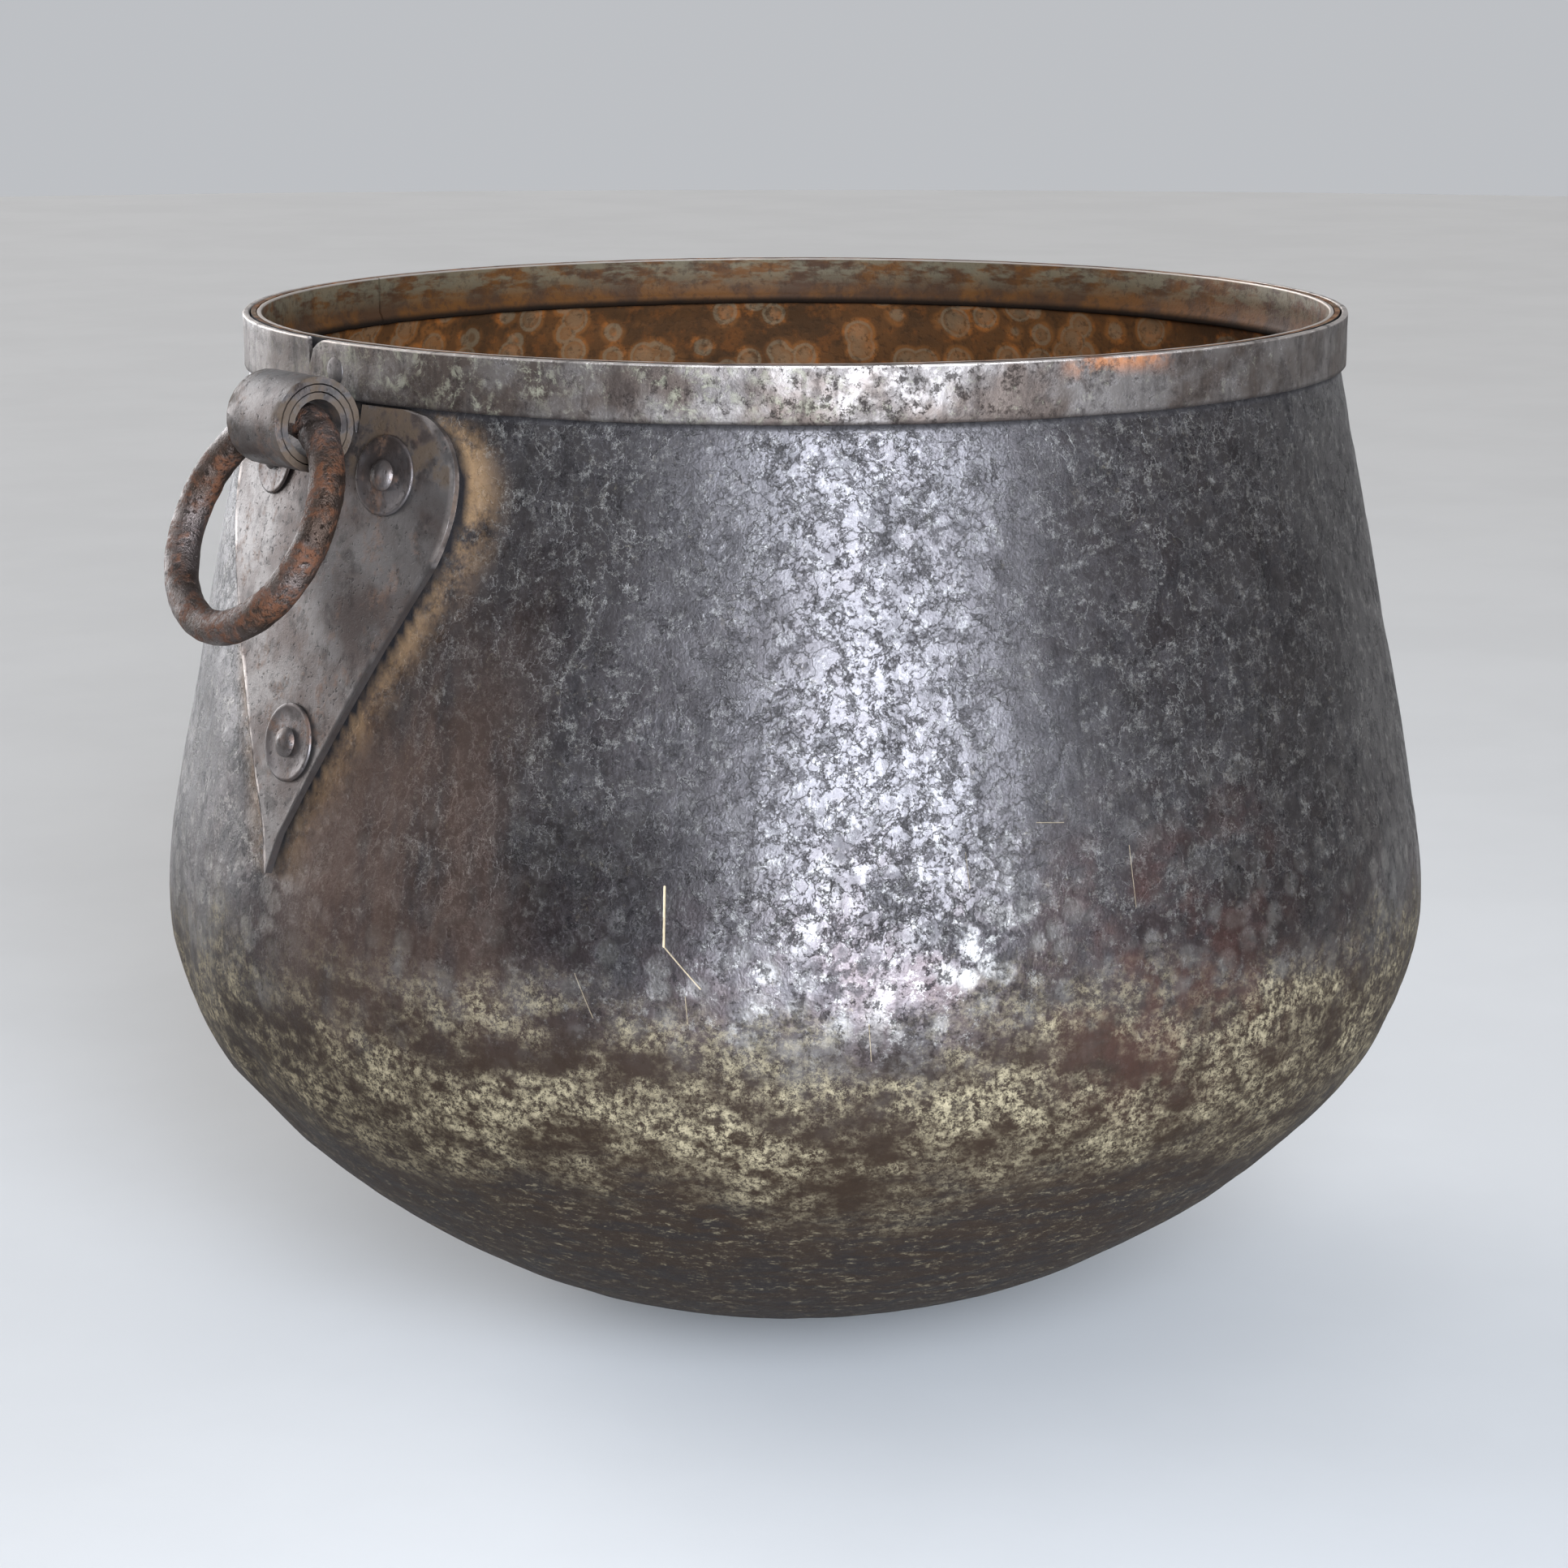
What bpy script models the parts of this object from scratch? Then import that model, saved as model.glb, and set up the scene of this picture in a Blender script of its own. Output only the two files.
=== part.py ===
"""A large hammered cooking bowl with a banded rim and two riveted ring handles.

The bowl stands on the ground at z = 0, on its own axis, with a handle on -X and one on +X.
All sizes are in metres and every piece is its own object.
"""

import math

import bmesh
import bpy
from mathutils import Matrix, Vector

# ---------------------------------------------------------------- bowl
BOWL_HEIGHT = 0.4272  # ground to the top of the rim
RIM_RADIUS = 0.230  # outside of the rim hoop
BELLY_SWELL = 0.039  # how far the belly stands outside the rim
BELLY_HEIGHT = 0.1808  # ground to the widest place
UPPER_BELLY_ARC = 0.225  # the wall curves in above the widest place
LOWER_BELLY_ARC = 0.110  # and more tightly below it
FOOT_RADIUS = 0.045  # flat spot that the bowl stands on
SHELL_WALL = 0.0022
SHOULDER_SWELL = 0.0014  # the wall steps out by this under the rim hoop
SHOULDER_DROP = 0.003  # and takes this height to do it

# ---------------------------------------------------------------- rim
HOOP_HEIGHT = 0.022
HOOP_WALL = 0.003
HOOP_JOINT_ANGLE = math.radians(175.0)  # where the ends of the hoop meet
HOOP_JOINT_GAP = 0.0032
HOOP_EDGE = 0.001  # rounding of the hoop's long edges
LINING_HEIGHT = 0.0215
LINING_WALL = 0.002
LINING_BEAD = 0.0016  # the lower edge of the lining swells inwards
LINING_BEAD_HEIGHT = 0.006
LINING_SEAM_ANGLE = math.radians(107.7)
LINING_SEAM_GAP = 0.0012
HOOP_RIVET_ANGLE = math.radians(180.0)
HOOP_RIVET_DEPTH = 0.0115  # below the top of the rim
HOOP_RIVET_HEAD = 0.0055  # radius
HOOP_RIVET_SHANK = 0.003  # radius
HOOP_RIVET_TAIL = 0.0005  # its peened end stands this proud of the lining

# ---------------------------------------------------------------- handles
HANDLE_ANGLES = {"left": math.pi, "right": 0.0}
SHEET = 0.0027  # thickness of the handle plate
PLATE_TOP_HALF = 0.044  # half the length of the plate's straight top edge
PLATE_HALF_WIDTH = 0.074
PLATE_CORNER_DROP = 0.0315  # height of each rounded top corner
PLATE_SIDE_ARC = 0.060  # radius where the side turns towards the point
PLATE_NIB_HALF = 0.006  # half-width where the point starts
PLATE_NIB_DEPTH = 0.165  # below the plate's top edge
PLATE_POINT_HALF = 0.0010
PLATE_LENGTH = 0.181
PLATE_EDGE_LIFT = 0.0020  # the sides of the plate stand a little off the wall
EYE_LENGTH = 0.035
EYE_TURNS = 2.5
EYE_BELOW_HOOP = 0.0075  # from the hoop's lower edge to the middle of the eye
EYE_SLIT = 0.001  # saw cut on each side of the strip that is rolled
RING_WIRE = 0.014
RING_INNER = 0.072
RING_LEAN = math.radians(27.0)  # the ring rests this far out from plumb

# ---------------------------------------------------------------- rivets
RIVET_SPREAD = 0.075  # between the two upper rivets of a handle
RIVET_UPPER_DEPTH = 0.026  # below the hoop
RIVET_LOWER_DEPTH = 0.131
RIVET_LOWER_STEP = 0.004  # the lower rivet was set this far off the centre line
RIVET_SHANK = 0.004  # radius
RIVET_DOME = 0.00625  # radius of the hammered outer end
RIVET_DOME_HEIGHT = 0.0040
RIVET_HEAD = 0.008  # radius of the flat head inside the bowl
RIVET_HEAD_HEIGHT = 0.002
WASHER_RADIUS = 0.0155
WASHER_THICKNESS = 0.0012

# ---------------------------------------------------------------- clearances
TOUCH = 0.0003  # between pieces that rest on each other
HEAD_SEAT = 0.0006  # under a flat head on the hollow inner wall
PLATE_SEAT = 0.0004  # under a plate that follows the wall
RING_CLEARANCE = 0.0004  # between the ring and the eye it turns in
HOLE_CLEARANCE = 0.0003

TURN_STEPS = 72
FACET_ANGLE = math.radians(4)  # most that one facet of the upper belly arc turns
SMALL_STEPS = 20
EYE_STEPS = 20  # for each turn of the rolled eye
MERGE = 0.00001

# ---------------------------------------------------------------- sizes that follow
NECK_RADIUS = RIM_RADIUS - HOOP_WALL - TOUCH
SHOULDER_RADIUS = NECK_RADIUS + SHOULDER_SWELL
BELLY_RADIUS = RIM_RADIUS + BELLY_SWELL
HOOP_BOTTOM = BOWL_HEIGHT - HOOP_HEIGHT
SHOULDER_HEIGHT = HOOP_BOTTOM - SHOULDER_DROP
NECK_INSIDE = NECK_RADIUS - SHELL_WALL
LINING_OUTSIDE = NECK_INSIDE - TOUCH
LINING_INSIDE = LINING_OUTSIDE - LINING_WALL
PLATE_OFFSET = PLATE_SEAT + SHEET / 2
PLATE_TOP = HOOP_BOTTOM - 0.001
RING_RADIUS = (RING_INNER + RING_WIRE) / 2


def tangent_lean():
    """Lean of the straight wall that leaves the shoulder and touches the upper belly arc."""
    across = SHOULDER_RADIUS - (BELLY_RADIUS - UPPER_BELLY_ARC)
    up = SHOULDER_HEIGHT - BELLY_HEIGHT
    return math.atan2(up, across) - math.acos(UPPER_BELLY_ARC / math.hypot(across, up))


def bottom_arc_radius():
    """Radius of the arc, centred on the axis, that joins the foot to the lower belly arc."""
    centre_radius = BELLY_RADIUS - LOWER_BELLY_ARC
    known = centre_radius**2 + BELLY_HEIGHT**2 - FOOT_RADIUS**2 - LOWER_BELLY_ARC**2
    room = BELLY_HEIGHT**2 - LOWER_BELLY_ARC**2
    root = (known * LOWER_BELLY_ARC) ** 2
    root += room * (known**2 + (2 * BELLY_HEIGHT * FOOT_RADIUS) ** 2)
    return (known * LOWER_BELLY_ARC + math.sqrt(root)) / (2 * room)


LEAN = tangent_lean()
BOTTOM_ARC = bottom_arc_radius()


def ring_reach():
    """How far the ring's wire reaches from the middle of the eye, and how far below it the ring's centre is."""
    top = RING_RADIUS + RING_WIRE / 2
    ends = math.sqrt((RING_INNER / 2) ** 2 - (EYE_LENGTH / 2) ** 2)
    return (top - ends) / 2, (top + ends) / 2


RING_REACH, RING_DROP = ring_reach()
EYE_BORE = RING_REACH + RING_CLEARANCE
EYE_PITCH = SHEET + TOUCH
EYE_START = EYE_BORE + SHEET / 2 + EYE_PITCH * EYE_TURNS
EYE_HEIGHT = HOOP_BOTTOM - EYE_BELOW_HOOP
EYE_ROOT_HEIGHT = EYE_HEIGHT - (PLATE_OFFSET + EYE_START) * math.sin(LEAN)


def wall_lean(height):
    """Lean of the wall above the widest place: the same all the way down to the upper belly arc."""
    return min(LEAN, math.asin((height - BELLY_HEIGHT) / UPPER_BELLY_ARC))


def wall_radius(height):
    """Outside radius of the wall above the widest place."""
    lean = wall_lean(height)
    if lean < LEAN:
        return BELLY_RADIUS - UPPER_BELLY_ARC * (1 - math.cos(lean))
    return SHOULDER_RADIUS + (SHOULDER_HEIGHT - height) * math.tan(LEAN)


EYE_RADIUS = wall_radius(EYE_ROOT_HEIGHT) + (PLATE_OFFSET + EYE_START) * math.cos(LEAN)


# ---------------------------------------------------------------- helpers
def clear_scene():
    for obj in list(bpy.data.objects):
        bpy.data.objects.remove(obj)


def new_collection(name):
    collection = bpy.data.collections.new(name)
    bpy.context.scene.collection.children.link(collection)
    return collection


def metal(name, colour, roughness):
    material = bpy.data.materials.new(name)
    material.use_nodes = True
    shader = material.node_tree.nodes["Principled BSDF"]
    shader.inputs["Base Color"].default_value = (*colour, 1.0)
    shader.inputs["Roughness"].default_value = roughness
    shader.inputs["Metallic"].default_value = 0.9
    material.diffuse_color = (*colour, 1.0)
    return material


def add_object(name, mesh, collection, material=None):
    obj = bpy.data.objects.new(name, mesh)
    collection.objects.link(obj)
    if material:
        mesh.materials.append(material)
    return obj


def smooth(mesh):
    mesh.shade_smooth()
    mesh.set_sharp_from_angle(angle=math.radians(40))


def arc(centre_radius, centre_height, radius, start, end, steps):
    """Points on an arc in the plane of a profile, from one angle to another, both included."""
    angles = [start + (end - start) * i / steps for i in range(steps + 1)]
    return [(centre_radius + radius * math.cos(a), centre_height + radius * math.sin(a)) for a in angles]


def turned(name, profile, collection, material, closed=False, steps=TURN_STEPS):
    """An object whose profile of (radius, height) points is turned round Z."""
    mesh = bpy.data.meshes.new(name)
    links = [(i, i + 1) for i in range(len(profile) - 1)]
    if closed:
        links.append((len(profile) - 1, 0))
    mesh.from_pydata([(radius, 0, height) for radius, height in profile], links, [])
    obj = add_object(name, mesh, collection, material)
    screw = obj.modifiers.new("turn", "SCREW")
    screw.steps = steps
    screw.render_steps = steps
    screw.use_merge_vertices = True
    screw.merge_threshold = MERGE
    screw.use_smooth_shade = True
    return obj


def add_cut(obj, cutters):
    cut = obj.modifiers.new("holes", "BOOLEAN")
    cut.operation = "DIFFERENCE"
    cut.operand_type = "COLLECTION"
    cut.collection = cutters
    cut.solver = "EXACT"


def hide_cutter(obj):
    obj.hide_render = True
    obj.display_type = "WIRE"


def cylinder_cutter(name, radius, length, matrix, collections):
    """A cutter whose axis is Z before the matrix places it."""
    mesh = bpy.data.meshes.new(name)
    form = bmesh.new()
    bmesh.ops.create_cone(
        form, cap_ends=True, segments=SMALL_STEPS, radius1=radius, radius2=radius, depth=length
    )
    form.to_mesh(mesh)
    form.free()
    obj = bpy.data.objects.new(name, mesh)
    for collection in collections:
        collection.objects.link(obj)
    obj.matrix_world = matrix
    hide_cutter(obj)
    return obj


def slot_cutter(name, angle, radius, width, collection):
    """An upright slab that parts a band at one angle."""
    mesh = bpy.data.meshes.new(name)
    form = bmesh.new()
    bmesh.ops.create_cube(form, size=1)
    depth = 6 * HOOP_WALL
    bmesh.ops.scale(form, vec=(depth, width, 2 * HOOP_HEIGHT + 0.01), verts=form.verts)
    bmesh.ops.translate(form, vec=(radius, 0, BOWL_HEIGHT), verts=form.verts)
    form.to_mesh(mesh)
    form.free()
    obj = add_object(name, mesh, collection)
    obj.rotation_euler.z = angle
    hide_cutter(obj)
    return obj


def outward(angle):
    """Turns +X to the given direction round the bowl."""
    return Matrix.Rotation(angle, 4, "Z")


def wall_frame(angle, height):
    """A frame on the outside of the wall with its Z axis straight out of the wall."""
    place = Matrix.Translation((wall_radius(height), 0, height))
    tilt = Matrix.Rotation(math.pi / 2 - wall_lean(height), 4, "Y")
    return outward(angle) @ place @ tilt


def rivet_places(side_angle):
    """Name, angle and height of each rivet of one handle."""
    upper = HOOP_BOTTOM - RIVET_UPPER_DEPTH
    lower = HOOP_BOTTOM - RIVET_LOWER_DEPTH
    half = math.asin(RIVET_SPREAD / 2 / wall_radius(upper))
    step = RIVET_LOWER_STEP / wall_radius(lower)
    return [
        ("upper_a", side_angle - half, upper),
        ("upper_b", side_angle + half, upper),
        ("lower", side_angle + step, lower),
    ]


# ---------------------------------------------------------------- bowl and rim
def bowl_profile():
    """Outside of the bowl, from the rim down to the middle of the foot."""
    belly = BELLY_RADIUS - UPPER_BELLY_ARC
    low_belly = BELLY_RADIUS - LOWER_BELLY_ARC
    bottom_centre = math.sqrt(BOTTOM_ARC**2 - FOOT_RADIUS**2)
    junction = math.atan2(BELLY_HEIGHT - bottom_centre, low_belly)
    foot = -math.acos(FOOT_RADIUS / BOTTOM_ARC)
    points = [(NECK_RADIUS, BOWL_HEIGHT), (NECK_RADIUS, HOOP_BOTTOM), (SHOULDER_RADIUS, SHOULDER_HEIGHT)]
    points += arc(belly, BELLY_HEIGHT, UPPER_BELLY_ARC, LEAN, 0, math.ceil(LEAN / FACET_ANGLE))
    points += arc(low_belly, BELLY_HEIGHT, LOWER_BELLY_ARC, 0, junction, 5)[1:]
    points += arc(0, bottom_centre, BOTTOM_ARC, junction, foot, 5)[1:]
    points.append((0, 0))
    return points


def make_bowl_shell(collection, material, holes):
    shell = turned("bowl_shell", bowl_profile(), collection, material)
    wall = shell.modifiers.new("wall", "SOLIDIFY")
    wall.thickness = SHELL_WALL
    wall.offset = -1
    wall.use_even_offset = True
    add_cut(shell, holes)


def band_profile(inside, outside, low, high, edge):
    """A tall thin band with rounded long edges, outer side first and running down."""
    turn = math.pi / 2
    top = arc(outside - edge, high - edge, edge, turn, 0, 2)
    bottom = arc(outside - edge, low + edge, edge, 0, -turn, 2)
    return top + bottom + [(inside, low), (inside, high)]


def make_rim_hoop(collection, material, holes):
    profile = band_profile(NECK_RADIUS + TOUCH, RIM_RADIUS, HOOP_BOTTOM, BOWL_HEIGHT, HOOP_EDGE)
    hoop = turned("rim_hoop", profile, collection, material, closed=True)
    slot_cutter("hoop_joint_cut", HOOP_JOINT_ANGLE, RIM_RADIUS, HOOP_JOINT_GAP, holes)
    add_cut(hoop, holes)


def make_rim_lining(collection, material, holes):
    low = BOWL_HEIGHT - LINING_HEIGHT
    bead = LINING_INSIDE - LINING_BEAD
    profile = [
        (LINING_OUTSIDE, BOWL_HEIGHT),
        (LINING_OUTSIDE, low),
        (LINING_INSIDE, low),
        (bead, low + 0.3 * LINING_BEAD_HEIGHT),
        (bead, low + 0.6 * LINING_BEAD_HEIGHT),
        (LINING_INSIDE, low + LINING_BEAD_HEIGHT),
        (LINING_INSIDE, BOWL_HEIGHT),
    ]
    lining = turned("rim_lining", profile, collection, material, closed=True)
    slot_cutter("lining_seam_cut", LINING_SEAM_ANGLE, LINING_INSIDE, LINING_SEAM_GAP, holes)
    add_cut(lining, holes)


def make_hoop_rivet(collection, material):
    """A flush rivet through hoop, shell and lining, lying along its own Z axis."""
    lining_face = LINING_INSIDE - RIM_RADIUS
    profile = [
        (0, 0),
        (HOOP_RIVET_HEAD, 0),
        (HOOP_RIVET_HEAD, -HOOP_WALL),
        (HOOP_RIVET_SHANK, -HOOP_WALL),
        (HOOP_RIVET_SHANK, lining_face),
        (0, lining_face - HOOP_RIVET_TAIL),
    ]
    rivet = turned("hoop_rivet", profile, collection, material, steps=SMALL_STEPS)
    rivet.matrix_world = hoop_rivet_frame()


def hoop_rivet_frame():
    place = Matrix.Translation((RIM_RADIUS, 0, BOWL_HEIGHT - HOOP_RIVET_DEPTH))
    return outward(HOOP_RIVET_ANGLE) @ place @ Matrix.Rotation(math.pi / 2, 4, "Y")


# ---------------------------------------------------------------- handle plate
def plate_half_width(depth):
    """Half the width of the plate at a depth below its top edge."""
    side_end = math.atan2(PLATE_HALF_WIDTH - PLATE_NIB_HALF, PLATE_NIB_DEPTH - PLATE_CORNER_DROP)
    side_drop = PLATE_SIDE_ARC * math.sin(side_end)
    side_half = PLATE_HALF_WIDTH - PLATE_SIDE_ARC * (1 - math.cos(side_end))
    side_depth = PLATE_CORNER_DROP + side_drop
    if depth <= PLATE_CORNER_DROP:
        rise = (PLATE_CORNER_DROP - depth) / PLATE_CORNER_DROP
        return PLATE_TOP_HALF + (PLATE_HALF_WIDTH - PLATE_TOP_HALF) * math.sqrt(1 - rise**2)
    if depth <= side_depth:
        down = depth - PLATE_CORNER_DROP
        return PLATE_HALF_WIDTH - PLATE_SIDE_ARC + math.sqrt(PLATE_SIDE_ARC**2 - down**2)
    if depth <= PLATE_NIB_DEPTH:
        share = (depth - side_depth) / (PLATE_NIB_DEPTH - side_depth)
        return side_half + (PLATE_NIB_HALF - side_half) * share
    share = (depth - PLATE_NIB_DEPTH) / (PLATE_LENGTH - PLATE_NIB_DEPTH)
    return PLATE_NIB_HALF + (PLATE_POINT_HALF - PLATE_NIB_HALF) * share


def plate_point(across, half_width, height):
    """The middle of the sheet at a distance from the plate's centre line, measured round the wall."""
    share = min(abs(across) / half_width, 1)
    drop_share = min((PLATE_TOP - height) / PLATE_CORNER_DROP, 1)
    lift = PLATE_EDGE_LIFT * share**4 * drop_share * half_width / PLATE_HALF_WIDTH
    radius = wall_radius(height)
    lean = wall_lean(height)
    out = Vector((math.cos(lean), 0, math.sin(lean)))
    point = Vector((radius, 0, height)) + out * (PLATE_OFFSET + lift)
    return outward(across / radius) @ point


def plate_columns(half_width):
    """Places across one row of the plate, on one side of its centre line."""
    strip = min(EYE_LENGTH / 2, half_width * 0.4)
    slit = min(EYE_SLIT, half_width * 0.05)
    start = strip + slit
    return [strip] + [start + (half_width - start) * i / 4 for i in range(5)]


def plate_depths():
    """Depths of the plate's rows: those beside the eye, then the rest."""
    root = PLATE_TOP - EYE_ROOT_HEIGHT
    beside = [root * i / 4 for i in range(4)]
    corner = [root + (PLATE_CORNER_DROP - root) * i / 2 for i in range(3)]
    below = PLATE_NIB_DEPTH - PLATE_CORNER_DROP
    sides = [PLATE_CORNER_DROP + below * i / 8 for i in range(1, 9)]
    return beside, corner + sides + [PLATE_LENGTH]


def add_row(form, depth, with_strip):
    """One row of the plate's vertices; beside the eye the middle ones are left out."""
    half_width = plate_half_width(depth)
    columns = plate_columns(half_width)
    if not with_strip:
        columns = columns[1:]
    sides = [[], []]
    for side, sign in enumerate((-1, 1)):
        for across in columns:
            sides[side].append(form.verts.new(plate_point(sign * across, half_width, PLATE_TOP - depth)))
    middle = []
    if with_strip:
        middle = [form.verts.new(plate_point(0, half_width, PLATE_TOP - depth))]
    return sides[0][::-1], middle, sides[1]


def bridge(form, upper, lower):
    """Faces between two rows of vertices, the first row above the second."""
    for i in range(len(upper) - 1):
        form.faces.new((upper[i], lower[i], lower[i + 1], upper[i + 1]))


def eye_row(form, turned_by):
    """Three vertices across the rolled strip, after it has turned by an angle from its root."""
    radius = EYE_START - EYE_PITCH * turned_by / (2 * math.pi)
    angle = math.pi + LEAN - turned_by
    x = EYE_RADIUS + radius * math.cos(angle)
    z = EYE_HEIGHT + radius * math.sin(angle)
    return [form.verts.new((x, y, z)) for y in (-EYE_LENGTH / 2, 0, EYE_LENGTH / 2)]


def plate_mesh(name):
    """The sheet of a handle plate as an open surface at the middle of its thickness."""
    form = bmesh.new()
    beside, below = plate_depths()
    upper_rows = [add_row(form, depth, False) for depth in beside]
    lower_rows = [add_row(form, depth, True) for depth in below]
    root = lower_rows[0]
    for i, row in enumerate(upper_rows):
        following = upper_rows[i + 1] if i + 1 < len(upper_rows) else (root[0][:-1], [], root[2][1:])
        bridge(form, row[0], following[0])
        bridge(form, row[2], following[2])
    for upper, lower in zip(lower_rows, lower_rows[1:]):
        bridge(form, upper[0] + upper[1] + upper[2], lower[0] + lower[1] + lower[2])
    steps = math.ceil(EYE_STEPS * EYE_TURNS)
    strip = [root[0][-1], root[1][0], root[2][0]]
    for i in range(1, steps + 1):
        rolled = eye_row(form, 2 * math.pi * EYE_TURNS * i / steps)
        bridge(form, rolled, strip)
        strip = rolled
    mesh = bpy.data.meshes.new(name)
    form.to_mesh(mesh)
    form.free()
    return mesh


def make_handle_plate(side, angle, collection, material, holes):
    plate = add_object(f"{side}_handle_plate", plate_mesh(f"{side}_plate"), collection, material)
    smooth(plate.data)
    plate.rotation_euler.z = angle
    sheet = plate.modifiers.new("sheet", "SOLIDIFY")
    sheet.thickness = SHEET
    sheet.offset = 0
    sheet.use_even_offset = True
    add_cut(plate, holes)


# ---------------------------------------------------------------- rivets and ring
def rivet_profile():
    """A rivet along Z with z = 0 on the outside of the bowl's wall."""
    seat = PLATE_SEAT + SHEET + TOUCH + WASHER_THICKNESS + TOUCH
    inside = -SHELL_WALL - HEAD_SEAT
    dome = [
        (RIVET_DOME * math.sin(a), seat + RIVET_DOME_HEIGHT * math.cos(a))
        for a in [math.pi / 2 * i / 4 for i in range(5)]
    ]
    shank = [(RIVET_SHANK, seat), (RIVET_SHANK, inside)]
    head = [(RIVET_HEAD, inside), (RIVET_HEAD * 0.9, inside - RIVET_HEAD_HEIGHT), (0, inside - RIVET_HEAD_HEIGHT)]
    return dome + shank + head


def washer_profile():
    """A thin rove whose outer edge is turned up a little."""
    low = PLATE_SEAT + SHEET + TOUCH
    hole = RIVET_SHANK + HOLE_CLEARANCE
    top = low + WASHER_THICKNESS
    return [
        (WASHER_RADIUS - 0.0006, top),
        (WASHER_RADIUS, top - 0.0004),
        (WASHER_RADIUS, low),
        (hole, low),
        (hole, top - 0.0004),
        (WASHER_RADIUS - 0.0024, top - 0.0004),
    ]


def make_rivets(side, angle, collection, rivet_metal, washer_metal):
    for place, rivet_angle, height in rivet_places(angle):
        matrix = wall_frame(rivet_angle, height)
        rivet = turned(f"{side}_rivet_{place}", rivet_profile(), collection, rivet_metal, steps=SMALL_STEPS)
        rivet.matrix_world = matrix
        washer = turned(
            f"{side}_washer_{place}", washer_profile(), collection, washer_metal, closed=True, steps=SMALL_STEPS
        )
        washer.matrix_world = matrix


def make_ring(side, angle, collection, material):
    """The ring hangs from an empty that stands on the axis it swings about."""
    hinge = bpy.data.objects.new(f"{side}_ring_hinge", None)
    collection.objects.link(hinge)
    hinge.matrix_world = outward(angle) @ Matrix.Translation((EYE_RADIUS, 0, EYE_HEIGHT))
    bpy.ops.mesh.primitive_torus_add(
        major_radius=RING_RADIUS, minor_radius=RING_WIRE / 2, major_segments=40, minor_segments=12
    )
    ring = bpy.context.object
    bpy.context.collection.objects.unlink(ring)
    collection.objects.link(ring)
    ring.name = f"{side}_handle_ring"
    ring.data.materials.append(material)
    smooth(ring.data)
    ring.parent = hinge
    swing = Matrix.Rotation(-RING_LEAN, 4, "Y")
    hang = Matrix.Translation((0, 0, -RING_DROP)) @ Matrix.Rotation(math.pi / 2, 4, "Y")
    ring.matrix_local = swing @ hang


# ---------------------------------------------------------------- holes
def make_hole_cutters(all_cuts, shell_holes, plate_holes, hoop_holes, lining_holes):
    length = 0.03
    radius = RIVET_SHANK + HOLE_CLEARANCE
    for side, angle in HANDLE_ANGLES.items():
        for place, rivet_angle, height in rivet_places(angle):
            matrix = wall_frame(rivet_angle, height)
            users = (all_cuts, shell_holes, plate_holes[side])
            cylinder_cutter(f"{side}_{place}_hole", radius, length, matrix, users)
    frame = hoop_rivet_frame()
    small = HOOP_RIVET_SHANK + HOLE_CLEARANCE
    cylinder_cutter("hoop_rivet_hole", small, length, frame, (all_cuts, shell_holes, lining_holes))
    wide = HOOP_RIVET_HEAD + HOLE_CLEARANCE
    cylinder_cutter("hoop_head_hole", wide, length, frame, (all_cuts, hoop_holes))


def main():
    clear_scene()
    parts = new_collection("hammered_bowl")
    all_cuts = new_collection("cutters")
    shell_holes = new_collection("shell_holes")
    hoop_holes = new_collection("hoop_holes")
    lining_holes = new_collection("lining_holes")
    plate_holes = {side: new_collection(f"{side}_plate_holes") for side in HANDLE_ANGLES}
    make_hole_cutters(all_cuts, shell_holes, plate_holes, hoop_holes, lining_holes)

    patina = metal("dark_patinated_copper", (0.085, 0.070, 0.065), 0.42)
    band = metal("worn_rim_band", (0.115, 0.098, 0.085), 0.45)
    lining = metal("rusty_rim_lining", (0.190, 0.085, 0.040), 0.65)
    iron = metal("forged_iron_plate", (0.125, 0.112, 0.105), 0.48)
    ring_iron = metal("rusted_ring_iron", (0.150, 0.085, 0.060), 0.50)
    rivet_iron = metal("peened_rivet_iron", (0.110, 0.095, 0.085), 0.50)
    washer_iron = metal("rivet_washer_iron", (0.120, 0.105, 0.095), 0.52)

    make_bowl_shell(parts, patina, shell_holes)
    make_rim_hoop(parts, band, hoop_holes)
    make_rim_lining(parts, lining, lining_holes)
    make_hoop_rivet(parts, rivet_iron)
    for side, angle in HANDLE_ANGLES.items():
        make_handle_plate(side, angle, parts, iron, plate_holes[side])
        make_rivets(side, angle, parts, rivet_iron, washer_iron)
        make_ring(side, angle, parts, ring_iron)


main()
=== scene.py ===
"""The look of a large hammered cooking bowl with a banded rim and two riveted ring handles.

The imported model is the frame. Every piece here takes the place of its plain solid, keeps to the
same sizes, and adds what the maker and the years did to it: hammer marks, scale, rust and wear.
"""

import logging
import math
import sys
from dataclasses import dataclass, field
from enum import Enum

import bmesh
import bpy
import numpy as np
from mathutils import Matrix, Vector, noise


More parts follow.
